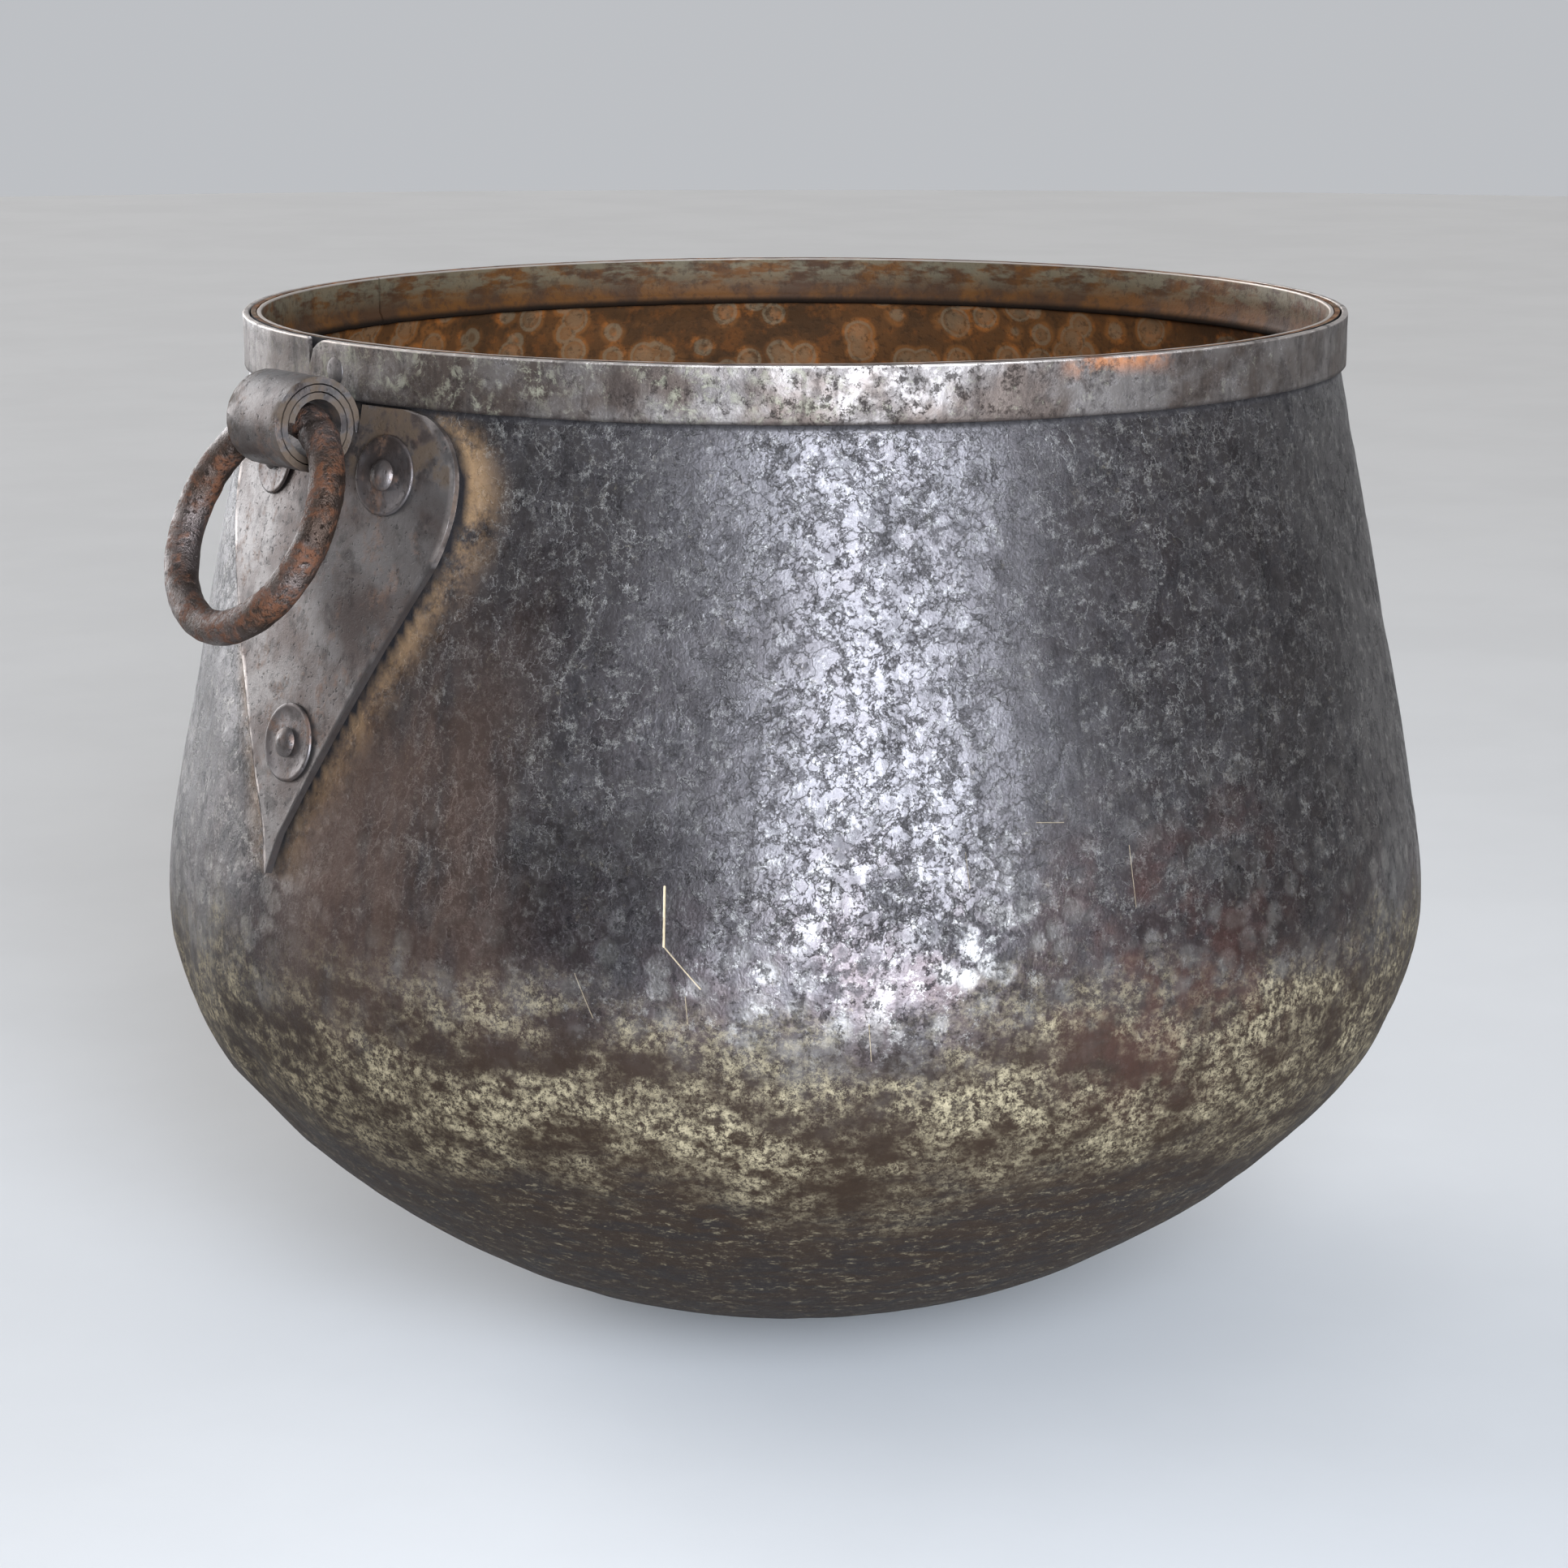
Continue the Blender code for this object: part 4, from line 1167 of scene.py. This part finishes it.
# ---------------------------------------------------------------- handles
@dataclass
class HandlePlate:
    """The iron plate of a handle, with the strip at its top rolled into the ring's eye."""

    bowl: BowlShell
    side: Side
    sheet: float = 0.0027
    top_half: float = 0.044
    half: float = 0.074
    corner_drop: float = 0.0315
    side_arc: float = 0.060
    nib_half: float = 0.006
    nib_depth: float = 0.165
    point_half: float = 0.0010
    length: float = 0.181
    edge_lift: float = 0.0020
    seat: float = 0.0004
    eye_length: float = 0.035
    eye_turns: float = 2.5
    eye_slit: float = 0.001
    eye_height: float = 0.3977
    eye_radius: float = 0.249723
    eye_start: float = 0.01852
    eye_pitch: float = 0.003
    row: float = 0.0032

    @property
    def top(self) -> float:
        """Height of the plate's straight top edge."""
        return self.bowl.hoop_bottom - 0.001

    def half_width(self, depth: float) -> float:
        """Half the width of the plate at a depth below its top edge."""
        side_end = math.atan2(self.half - self.nib_half, self.nib_depth - self.corner_drop)
        side_half = self.half - self.side_arc * (1 - math.cos(side_end))
        side_depth = self.corner_drop + self.side_arc * math.sin(side_end)
        if depth <= self.corner_drop:
            rise = (self.corner_drop - depth) / self.corner_drop
            return self.top_half + (self.half - self.top_half) * math.sqrt(1 - rise**2)
        if depth <= side_depth:
            down = depth - self.corner_drop
            return self.half - self.side_arc + math.sqrt(self.side_arc**2 - down**2)
        if depth <= self.nib_depth:
            share = (depth - side_depth) / (self.nib_depth - side_depth)
            return side_half + (self.nib_half - side_half) * share
        share = (depth - self.nib_depth) / (self.length - self.nib_depth)
        return self.nib_half + (self.point_half - self.nib_half) * share

    def spot(self, across: float, half: float, height: float) -> Vector:
        """The middle of the sheet at a distance round the wall from the plate's centre line."""
        share = min(abs(across) / half, 1)
        drop = min((self.top - height) / self.corner_drop, 1)
        lift = self.edge_lift * share**4 * drop * half / self.half
        radius, lean = self.bowl.wall_radius(height), self.bowl.wall_lean(height)
        away = self.seat + self.sheet / 2 + lift
        out = Vector((radius + math.cos(lean) * away, 0, height + math.sin(lean) * away))
        return outward(across / radius) @ out

    def columns(self, half: float) -> list[float]:
        """Places across one side of a row, starting at the strip."""
        strip = min(self.eye_length / 2, half * 0.4)
        start = strip + min(self.eye_slit, half * 0.05)
        return [strip] + [start + (half - start) * (1 - (1 - i / 9) ** 1.3) for i in range(10)]

    def add_row(self, form: bmesh.types.BMesh, depth: float, strip: bool) -> tuple[list, list, list]:
        """One row of the sheet's vertices.

        Args:
            form: the mesh being built.
            depth: how far below the top edge the row is.
            strip: whether the middle strip is part of this row.

        Returns:
            The row's left side, its middle and its right side.
        """
        half = self.half_width(depth)
        ragged = 1 + 0.006 * noise.noise(Vector((depth * 60, self.side.value, 0)))
        places = self.columns(half * min(ragged, 1))
        if not strip:
            places = places[1:]
        height = self.top - depth
        sides = [[form.verts.new(self.spot(sign * a, half, height)) for a in places] for sign in (-1, 1)]
        middle = []
        if strip:
            inner = places[0]
            shares = (-0.667, -0.333, 0.0, 0.333, 0.667)
            middle = [form.verts.new(self.spot(inner * s, half, height)) for s in shares]
        return sides[0][::-1], middle, sides[1]

    def bridge(self, form: bmesh.types.BMesh, upper: list, lower: list) -> None:
        """Faces between two rows, the first above the second."""
        for i in range(len(upper) - 1):
            form.faces.new((upper[i], lower[i], lower[i + 1], upper[i + 1]))

    def mesh(self) -> bpy.types.Mesh:
        """The open surface at the middle of the sheet, eye and all."""
        form = bmesh.new()
        lean = self.bowl.lean
        away = self.seat + self.sheet / 2
        root_height = self.eye_height - (away + self.eye_start) * math.sin(lean)
        root = self.top - root_height
        rows = [self.add_row(form, root * i / 6, False) for i in range(6)]
        steps = round((self.corner_drop - root) / self.row)
        depths = [root + (self.corner_drop - root) * i / steps for i in range(steps + 1)]
        steps = round((self.length - self.corner_drop) / self.row)
        left = self.length - self.corner_drop
        depths += [self.corner_drop + left * i / steps for i in range(1, steps + 1)]
        lower = [self.add_row(form, depth, True) for depth in depths]
        first = lower[0]
        rows.append((first[0][:-1], [], first[2][1:]))
        for above, below in zip(rows, rows[1:]):
            self.bridge(form, above[0], below[0])
            self.bridge(form, above[2], below[2])
        for above, below in zip(lower, lower[1:]):
            self.bridge(form, sum(above, []), sum(below, []))
        strip = [first[0][-1], *first[1], first[2][0]]
        count = len(strip)
        turns = round(28 * self.eye_turns)
        for i in range(1, turns + 1):
            turned = 2 * math.pi * self.eye_turns * i / turns
            radius = self.eye_start - self.eye_pitch * turned / (2 * math.pi)
            angle = math.pi + lean - turned
            x, z = self.eye_radius + radius * math.cos(angle), self.eye_height + radius * math.sin(angle)
            uneven = 1 - 0.03 * abs(noise.noise(Vector((turned * 1.7, 0, self.side.value))))
            half = self.eye_length / 2 * uneven
            rolled = [form.verts.new((x, half * (2 * j / (count - 1) - 1), z)) for j in range(count)]
            self.bridge(form, rolled, strip)
            strip = rolled
        return to_mesh(form, f"{self.side.label}_plate")

    def dress(self, mesh: bpy.types.Mesh) -> None:
        """Marks the edges, worn with painted highlight on the lit side and painted shade elsewhere, and the
        grime round the eye, as attributes.
        """
        spots = np.array([v.co for v in mesh.vertices])
        turned = np.array(outward(-self.side.value))[:3, :3]
        local = spots @ turned.T
        radius = np.hypot(local[:, 0], local[:, 1])
        across = np.arctan2(local[:, 1], local[:, 0]) * radius
        depth = self.top - local[:, 2]
        half = np.array([self.half_width(d) if 0 <= d <= self.length else 1.0 for d in depth])
        to_edge = (half - np.abs(across)) * 0.85
        on_plate = radius < self.eye_radius + 0.03
        wall = np.array([self.bowl.wall_radius(max(z, self.bowl.belly_height)) for z in local[:, 2]])
        flat = on_plate & (radius - wall < 0.0075)
        edge = flat & (to_edge < 0.0014)
        # edges on the lit side get wear with painted highlight; the rest get painted shade
        lit = (local[:, 1] < 0) | (depth < 0.055)
        worn = np.where(edge & lit, 1.0, 0.0)
        eye_far = np.hypot(radius - self.eye_radius, local[:, 2] - self.eye_height)
        grime = np.clip(1 - (eye_far - 0.012) / 0.016, 0, 1) * np.clip((np.abs(across) - 0.013) / 0.004, 0, 1)
        ends = (eye_far < 0.024) & (np.abs(local[:, 1]) > self.eye_length / 2 * 0.95)
        grime = np.where(ends, 1.0, grime)
        set_attribute(mesh, "dull", np.where(edge & ~lit, 1.0, 0.0))
        set_attribute(mesh, "worn", worn)
        set_attribute(mesh, "grime", grime * (1 - worn))

    def build(self) -> None:
        """Makes the plate, thickens it and puts it in place."""
        piece = new_object(f"{self.side.label}_forged_plate", self.mesh())
        piece.data.transform(outward(self.side.value))
        sheet = piece.modifiers.new("sheet", "SOLIDIFY")
        sheet.thickness = self.sheet - 0.0001
        sheet.offset = 0
        sheet.use_even_offset = True
        worn = piece.modifiers.new("filed_edges", "BEVEL")
        worn.width = 0.0006
        worn.segments = 2
        worn.limit_method = "ANGLE"
        worn.angle_limit = math.radians(50)
        bake(piece)
        set_attribute(piece.data, "free", np.ones(len(piece.data.vertices)))
        self.dress(piece.data)
        HammerWork(mark=0.018, depth=0.00014, sag=0.04, sag_depth=0.00015, seed=3.0).apply(
            piece, ForgedIron().make()
        )
        finish_mesh(piece.data, 50)
        place(piece, "bowl", [f"{self.side.label}_handle_plate"])


@dataclass
class HandleRing:
    """The forged ring that hangs in the eye, closed by a lap weld."""

    plate: HandlePlate
    wire: float = 0.014
    inner: float = 0.072
    lean: float = math.radians(27.0)
    drop: float = 0.04073
    lap_angle: float = math.radians(158)
    cleft: float = 0.0016

    def tree(self, skin: bpy.types.Material) -> Tree:
        """A round bar bent into a circle, hammered uneven, with a swollen lap at one place.

        Args:
            skin: the ring's material.

        Returns:
            The tree.
        """
        sizes = {"Ring radius": 0.043, "Wire radius": 0.007, "Waver": 0.0005, "Pit": 0.0003, "Lap": 0.0009}
        tree, given, result = new_tree(f"bent_ring_{self.plate.side.label}", sizes)
        path = {"Resolution": 168, "Radius": given.outputs["Ring radius"]}
        circle = add(tree, "GeometryNodeCurvePrimitiveCircle", path).outputs[0]
        section = {"Resolution": 30, "Radius": given.outputs["Wire radius"]}
        bar = add(tree, "GeometryNodeCurvePrimitiveCircle", section).outputs[0]
        swept = {"Curve": circle, "Profile Curve": bar}
        shape = add(tree, "GeometryNodeCurveToMesh", swept).outputs[0]
        spot = add(tree, "GeometryNodeInputPosition").outputs[0]
        total: Socket | float = 0.0
        for size, depth in ((22 * MM, "Waver"), (4.5 * MM, "Pit")):
            source = {"Vector": spot, "Scale": 1 / size, "Detail": 2.0}
            cloud = add(tree, "ShaderNodeTexNoise", source).outputs[0]
            reach = {"Value": cloud, "From Min": 0.35, "From Max": 0.7}
            share = add(tree, "ShaderNodeMapRange", reach).outputs[0]
            total = maths(tree, "MULTIPLY_ADD", share, given.outputs[depth], total)
        radius = (self.inner + self.wire) / 2
        lap = (radius * math.cos(self.lap_angle), radius * math.sin(self.lap_angle), 0)
        away = vectors(tree, "DISTANCE", spot, lap)
        swell = {"Value": away, "From Min": 0.007, "From Max": 0.018, "To Min": 1.0, "To Max": 0.0}
        bulge = add(tree, "ShaderNodeMapRange", swell, interpolation_type="SMOOTHSTEP").outputs[0]
        raised = maths(tree, "MULTIPLY", bulge, given.outputs["Lap"])
        along = (math.cos(self.lap_angle + 1.1), math.sin(self.lap_angle + 1.1), 0.35)
        slant = vectors(tree, "DOT_PRODUCT", spot, along)
        middle = lap[0] * along[0] + lap[1] * along[1]
        off = maths(tree, "ADD", slant, -middle)
        side = maths(tree, "ABSOLUTE", off)
        seam = {"Value": side, "From Min": 0.0003, "From Max": 0.0013, "To Min": 1.0, "To Max": 0.0}
        groove = add(tree, "ShaderNodeMapRange", seam).outputs[0]
        near = maths(tree, "MULTIPLY", groove, bulge)
        cut = maths(tree, "MULTIPLY_ADD", near, -self.cleft, raised)
        net = maths(tree, "SUBTRACT", cut, total)
        tree.links.new(dressed(tree, pushed(tree, shape, net), skin), result.inputs[0])
        return tree

    def frame(self) -> Matrix:
        """Where the ring hangs at rest."""
        eye = Matrix.Translation((self.plate.eye_radius, 0, self.plate.eye_height))
        swing = Matrix.Rotation(-self.lean, 4, "Y")
        hang = Matrix.Translation((0, 0, -self.drop)) @ Matrix.Rotation(math.pi / 2, 4, "Y")
        return outward(self.plate.side.value) @ eye @ swing @ hang

    def build(self) -> None:
        """Makes the ring and hangs it in its eye."""
        label = self.plate.side.label
        piece = new_object(f"{label}_forged_ring", bpy.data.meshes.new(f"{label}_ring"))
        skin = ForgedIron(
            f"iron_forged_ring_{label}", "#564c47", "#35281f", "#1c1613", "#55331f", 0.38, 0.32, 5.5
        ).make()
        values = {"Ring radius": (self.inner + self.wire) / 2, "Wire radius": self.wire / 2}
        add_tree(piece, self.tree(skin), values)
        bake(piece)
        piece.data.transform(self.frame())
        finish_mesh(piece.data, 60)
        place(piece, f"{label}_ring", [f"{label}_handle_ring"])


@dataclass
class RivetSet:
    """The six rivets that hold the handle plates, each hammered over its own washer."""

    bowl: BowlShell
    plate: HandlePlate
    spread: float = 0.075
    upper_depth: float = 0.026
    lower_depth: float = 0.131
    lower_step: float = 0.004
    shank: float = 0.004
    dome: float = 0.00625
    dome_height: float = 0.0040
    head: float = 0.008
    head_height: float = 0.002
    head_seat: float = 0.0006
    washer: float = 0.0155
    washer_wall: float = 0.0012
    steps: int = 48

    def places(self, side: Side) -> list[tuple[str, Matrix]]:
        """Each rivet of one handle with the frame it stands in.

        Args:
            side: the handle.

        Returns:
            The rivet's name and its frame, Z out of the wall.
        """
        upper = self.bowl.hoop_bottom - self.upper_depth
        lower = self.bowl.hoop_bottom - self.lower_depth
        half = math.asin(self.spread / 2 / self.bowl.wall_radius(upper))
        step = self.lower_step / self.bowl.wall_radius(lower)
        found = [("upper_a", side.value - half, upper), ("upper_b", side.value + half, upper)]
        found.append(("lower", side.value + step, lower))
        return [(name, self.bowl.wall_frame(angle, height)) for name, angle, height in found]

    def turned(self, name: str, line: Profile, closed: bool) -> bpy.types.Mesh:
        """A profile of (radius, height) turned round Z.

        Args:
            name: the mesh's name.
            line: the profile.
            closed: whether it is a loop, as on a washer, or runs from pole to pole.

        Returns:
            The mesh.
        """
        form = bmesh.new()
        verts = [form.verts.new((r, 0, z)) for r, z in line]
        edges = [form.edges.new((a, b)) for a, b in zip(verts, verts[1:])]
        if closed:
            edges.append(form.edges.new((verts[-1], verts[0])))
        bmesh.ops.spin(
            form, geom=verts + edges, axis=(0, 0, 1), cent=(0, 0, 0), steps=self.steps, angle=2 * math.pi
        )
        bmesh.ops.remove_doubles(form, verts=form.verts, dist=0.00002)
        bmesh.ops.recalc_face_normals(form, faces=form.faces)
        return to_mesh(form, name)

    def rivet_line(self) -> Profile:
        """A rivet from the top of its dome to the middle of its inner head."""
        seat = self.plate.seat + self.plate.sheet + 2 * self.bowl.touch + self.washer_wall
        inside = -self.bowl.wall - self.head_seat
        nipple = [(0.0, seat + self.dome_height), (0.0011, seat + self.dome_height - 0.0002)]
        nipple += [(0.0019, seat + self.dome_height * 0.80)]
        turns = [math.pi / 2 * i / 8 for i in range(3, 9)]
        dome = [(self.dome * math.sin(a), seat + self.dome_height * 0.80 * math.cos(a)) for a in turns]
        stem = [(self.shank, seat), (self.shank, inside), (self.head, inside)]
        under = inside - self.head_height
        head = [(self.head, inside - 0.0008), (self.head * 0.86, under), (0.0, under)]
        return nipple + dome + stem + head

    def washer_line(self) -> Profile:
        """A thin rove whose outer edge is turned up."""
        low = self.plate.seat + self.plate.sheet + self.bowl.touch
        high = low + self.washer_wall
        hole = self.shank + 0.0003
        return [
            (self.washer - 0.0010, high),
            (self.washer - 0.0003, high - 0.0002),
            (self.washer, high - 0.0006),
            (self.washer, low),
            (hole, low),
            (hole, high - 0.0004),
            (self.washer * 0.6, high - 0.00055),
            (self.washer - 0.0030, high - 0.0005),
            (self.washer - 0.0018, high - 0.0001),
        ]

    def tree(self, name: str, template: bpy.types.Object, skin: bpy.types.Material) -> Tree:
        """A tree that sets one template on every point, turned as the point says, and beats each one.

        Args:
            name: the tree's name.
            template: the plain turned piece.
            skin: the material.

        Returns:
            The tree.
        """
        sizes = {"Waver": 0.0005, "Grain": 0.006, "Seed": 4.0}
        tree, given, result = new_tree(name, sizes)
        part = add(tree, "GeometryNodeObjectInfo", {"Object": template}).outputs["Geometry"]
        turn = add(tree, "GeometryNodeInputNamedAttribute", {"Name": "turn"}, data_type="FLOAT_VECTOR")
        rotation = add(tree, "FunctionNodeEulerToRotation", {"Euler": turn.outputs[0]}).outputs[0]
        points = add(tree, "GeometryNodeMeshToPoints", {"Mesh": given.outputs["Geometry"]}).outputs[0]
        set_on = {"Points": points, "Instance": part, "Rotation": rotation}
        shape = add(tree, "GeometryNodeInstanceOnPoints", set_on).outputs[0]
        shape = add(tree, "GeometryNodeRealizeInstances", {"Geometry": shape}).outputs[0]
        spot = add(tree, "GeometryNodeInputPosition").outputs[0]
        seeded = vectors(tree, "ADD", spot, given.outputs["Seed"])
        scale = maths(tree, "DIVIDE", 1.0, given.outputs["Grain"])
        cloud = add(tree, "ShaderNodeTexNoise", {"Vector": seeded, "Scale": scale, "Detail": 2.0}).outputs[0]
        depth = maths(tree, "MULTIPLY", cloud, given.outputs["Waver"])
        shape = pushed(tree, shape, maths(tree, "MULTIPLY", depth, -1.0))
        tree.links.new(dressed(tree, shape, skin), result.inputs[0])
        return tree

    def scatter(
        self, name: str, mesh: bpy.types.Mesh, skin: bpy.types.Material, waver: float
    ) -> bpy.types.Object:
        """Sets a turned piece at every rivet's place.

        Args:
            name: the new piece's name.
            mesh: the plain turned piece.
            skin: its material.
            waver: how far its surface wavers in metres.

        Returns:
            The piece that holds them all.
        """
        template = new_object(f"{name}_template", mesh)
        frames = [matrix for side in Side for _, matrix in self.places(side)]
        points = bpy.data.meshes.new(name)
        points.from_pydata([m.to_translation() for m in frames], [], [])
        turn = points.attributes.new("turn", "FLOAT_VECTOR", "POINT")
        for i, matrix in enumerate(frames):
            turn.data[i].vector = matrix.to_euler("XYZ")
        piece = new_object(name, points)
        add_tree(piece, self.tree(f"{name}_tree", template, skin), {"Waver": waver})
        bake(piece)
        bpy.data.objects.remove(template)
        finish_mesh(piece.data, 45)
        return piece

    def build(self) -> None:
        """Makes the rivets and the washers, and the small rivet that closes the hoop."""
        nodes = [f"{side.label}_{{}}_{name}" for side in Side for name, _ in self.places(side)]
        iron = ForgedIron("iron_rivet", "#625c59", "#3f342e", "#27211e", "#65462f", 0.1, 0.42, 1.0).make()
        rivets = self.scatter("plate_rivets", self.turned("rivet", self.rivet_line(), False), iron, 0.0006)
        place(rivets, "bowl", [n.format("rivet") for n in nodes])
        rove = ForgedIron("iron_washer", "#5f5957", "#3f342e", "#27211e", "#65462f", 0.1, 0.42, 1.0).make()
        washers = self.scatter("rivet_washers", self.turned("washer", self.washer_line(), True), rove, 0.0003)
        place(washers, "bowl", [n.format("washer") for n in nodes])
        self.hoop_rivet(iron)

    def hoop_rivet(self, iron: bpy.types.Material) -> None:
        """Makes the flush rivet that closes the hoop, lying from the hoop's face to the lining's."""
        low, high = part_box("hoop_rivet")
        radius = (high.y - low.y) / 2
        length = high.x - low.x
        wall = self.bowl.hoop_wall
        line = [(0.0, 0.0), (radius * 0.8, 0.0), (radius * 0.96, -0.0003), (radius, -0.0008), (radius, -wall)]
        line += [(0.003, -wall), (0.003, -length + 0.0005), (0.0, -length)]
        mesh = self.turned("hoop_rivet", line, False)
        spot = Matrix.Translation((low.x, 0, (low.z + high.z) / 2))
        mesh.transform(spot @ Matrix.Rotation(-math.pi / 2, 4, "Y"))
        piece = new_object("hoop_closing_rivet", mesh)
        mesh.materials.append(iron)
        finish_mesh(mesh, 45)
        place(piece, "bowl", ["hoop_rivet"])


# ---------------------------------------------------------------- studio
@dataclass
class Studio:
    """The camera, a pale floor and soft daylight from one tall side."""

    lens: float = 87.74
    distance: float = 1.61
    bearing: float = 230.2
    above_rim: float = 0.1565
    pitch: float = 12.716
    shift: float = -0.00725
    glow: float = 0.60
    wall_glow: float = 8.0
    wall_bearing: float = 99.0
    wall_edge: float = 0.83
    wall_full: float = 0.93
    lamp_bearing: float = 242.5
    lamp_distance: float = 1.75
    lamp_width: float = 0.80
    lamp_spread: float = 95.0
    daylight: str = "#d9e7fa"
    sky: str = "#eef1f6"
    floor_radius: float = 7.0

    def aim(self, data: bpy.types.ID, spot: Vector, way: Vector) -> bpy.types.Object:
        """Puts a camera or a light into the scene at a spot, looking along a direction."""
        thing = bpy.data.objects.new(data.name, data)
        bpy.context.scene.collection.objects.link(thing)
        thing.location = spot
        thing.rotation_mode = "QUATERNION"
        thing.rotation_quaternion = way.to_track_quat("-Z", "Y")
        return thing

    def camera(self, rim: float) -> None:
        """Sets the camera where it looks slightly down on the rim."""
        data = bpy.data.cameras.new("camera")
        data.lens = self.lens
        data.shift_x = self.shift
        data.clip_start = 0.05
        turn = math.radians(self.bearing)
        spot = Vector((math.cos(turn) * self.distance, math.sin(turn) * self.distance, rim + self.above_rim))
        down = math.radians(self.pitch)
        ahead = Vector((-math.cos(turn) * math.cos(down), -math.sin(turn) * math.cos(down), -math.sin(down)))
        bpy.context.scene.camera = self.aim(data, spot, ahead)

    def lamp(self, name: str, low: float, high: float, watts: float) -> None:
        """A soft upright light that faces the bowl.

        Args:
            name: its name.
            low: height of its lower edge.
            high: height of its upper edge.
            watts: its power.
        """
        data = bpy.data.lights.new(name, "AREA")
        data.shape = "RECTANGLE"
        data.size, data.size_y = self.lamp_width, high - low
        data.energy = watts
        data.color = linear(self.daylight)[:3]
        data.spread = math.radians(self.lamp_spread)
        turn, away = math.radians(self.lamp_bearing), self.lamp_distance
        spot = Vector((math.cos(turn) * away, math.sin(turn) * away, (low + high) / 2))
        self.aim(data, spot, Vector((-math.cos(turn), -math.sin(turn), 0))).visible_camera = False

    def world(self) -> None:
        """Pale light from all round, stronger from the wall on the left of the bowl."""
        world = bpy.data.worlds.new("studio")
        world.use_nodes = True
        tree = world.node_tree
        sky = tree.nodes["Background"]
        way = add(tree, "ShaderNodeTexCoord").outputs["Generated"]
        turn = math.radians(self.wall_bearing)
        dot = vectors(tree, "DOT_PRODUCT", way, (math.cos(turn), math.sin(turn), 0.1))
        reach = {"Value": dot, "From Min": self.wall_edge, "From Max": self.wall_full}
        reach |= {"To Min": self.glow, "To Max": self.wall_glow}
        level = add(tree, "ShaderNodeMapRange", reach, interpolation_type="SMOOTHSTEP").outputs[0]
        # the bright wall lights the bowl, but the backdrop stays plain from every side
        seen = add(tree, "ShaderNodeLightPath").outputs["Is Camera Ray"]
        level = add(tree, "ShaderNodeMix", {0: seen, 2: level, 3: self.glow}).outputs[0]
        sky.inputs["Color"].default_value = linear(self.sky)
        tree.links.new(level, sky.inputs["Strength"])
        bpy.context.scene.world = world

    def build(self, rim: float) -> None:
        """Lights the studio and lays its floor."""
        self.camera(rim)
        self.lamp("window", 0.32, 1.5, 32)
        self.lamp("window_foot", 0.08, 0.32, 13)
        self.world()
        form = bmesh.new()
        bmesh.ops.create_circle(form, cap_ends=True, segments=96, radius=self.floor_radius)
        mesh = to_mesh(form, "floor")
        mesh.materials.append(PaleGround().make())
        new_object("floor", mesh)
        bpy.context.scene.view_settings.view_transform = "Standard"


def main() -> None:
    """Builds the bowl, its rim and its handles."""
    logging.basicConfig(level=logging.INFO, format="%(message)s", stream=sys.stdout)
    bowl = BowlShell()
    Studio().build(bowl.height)
    bowl.build()
    Rim(bowl).build()
    for side in Side:
        plate = HandlePlate(bowl, side)
        plate.build()
        HandleRing(plate).build()
    RivetSet(bowl, HandlePlate(bowl, Side.LEFT)).build()


if __name__ == "__main__":
    main()
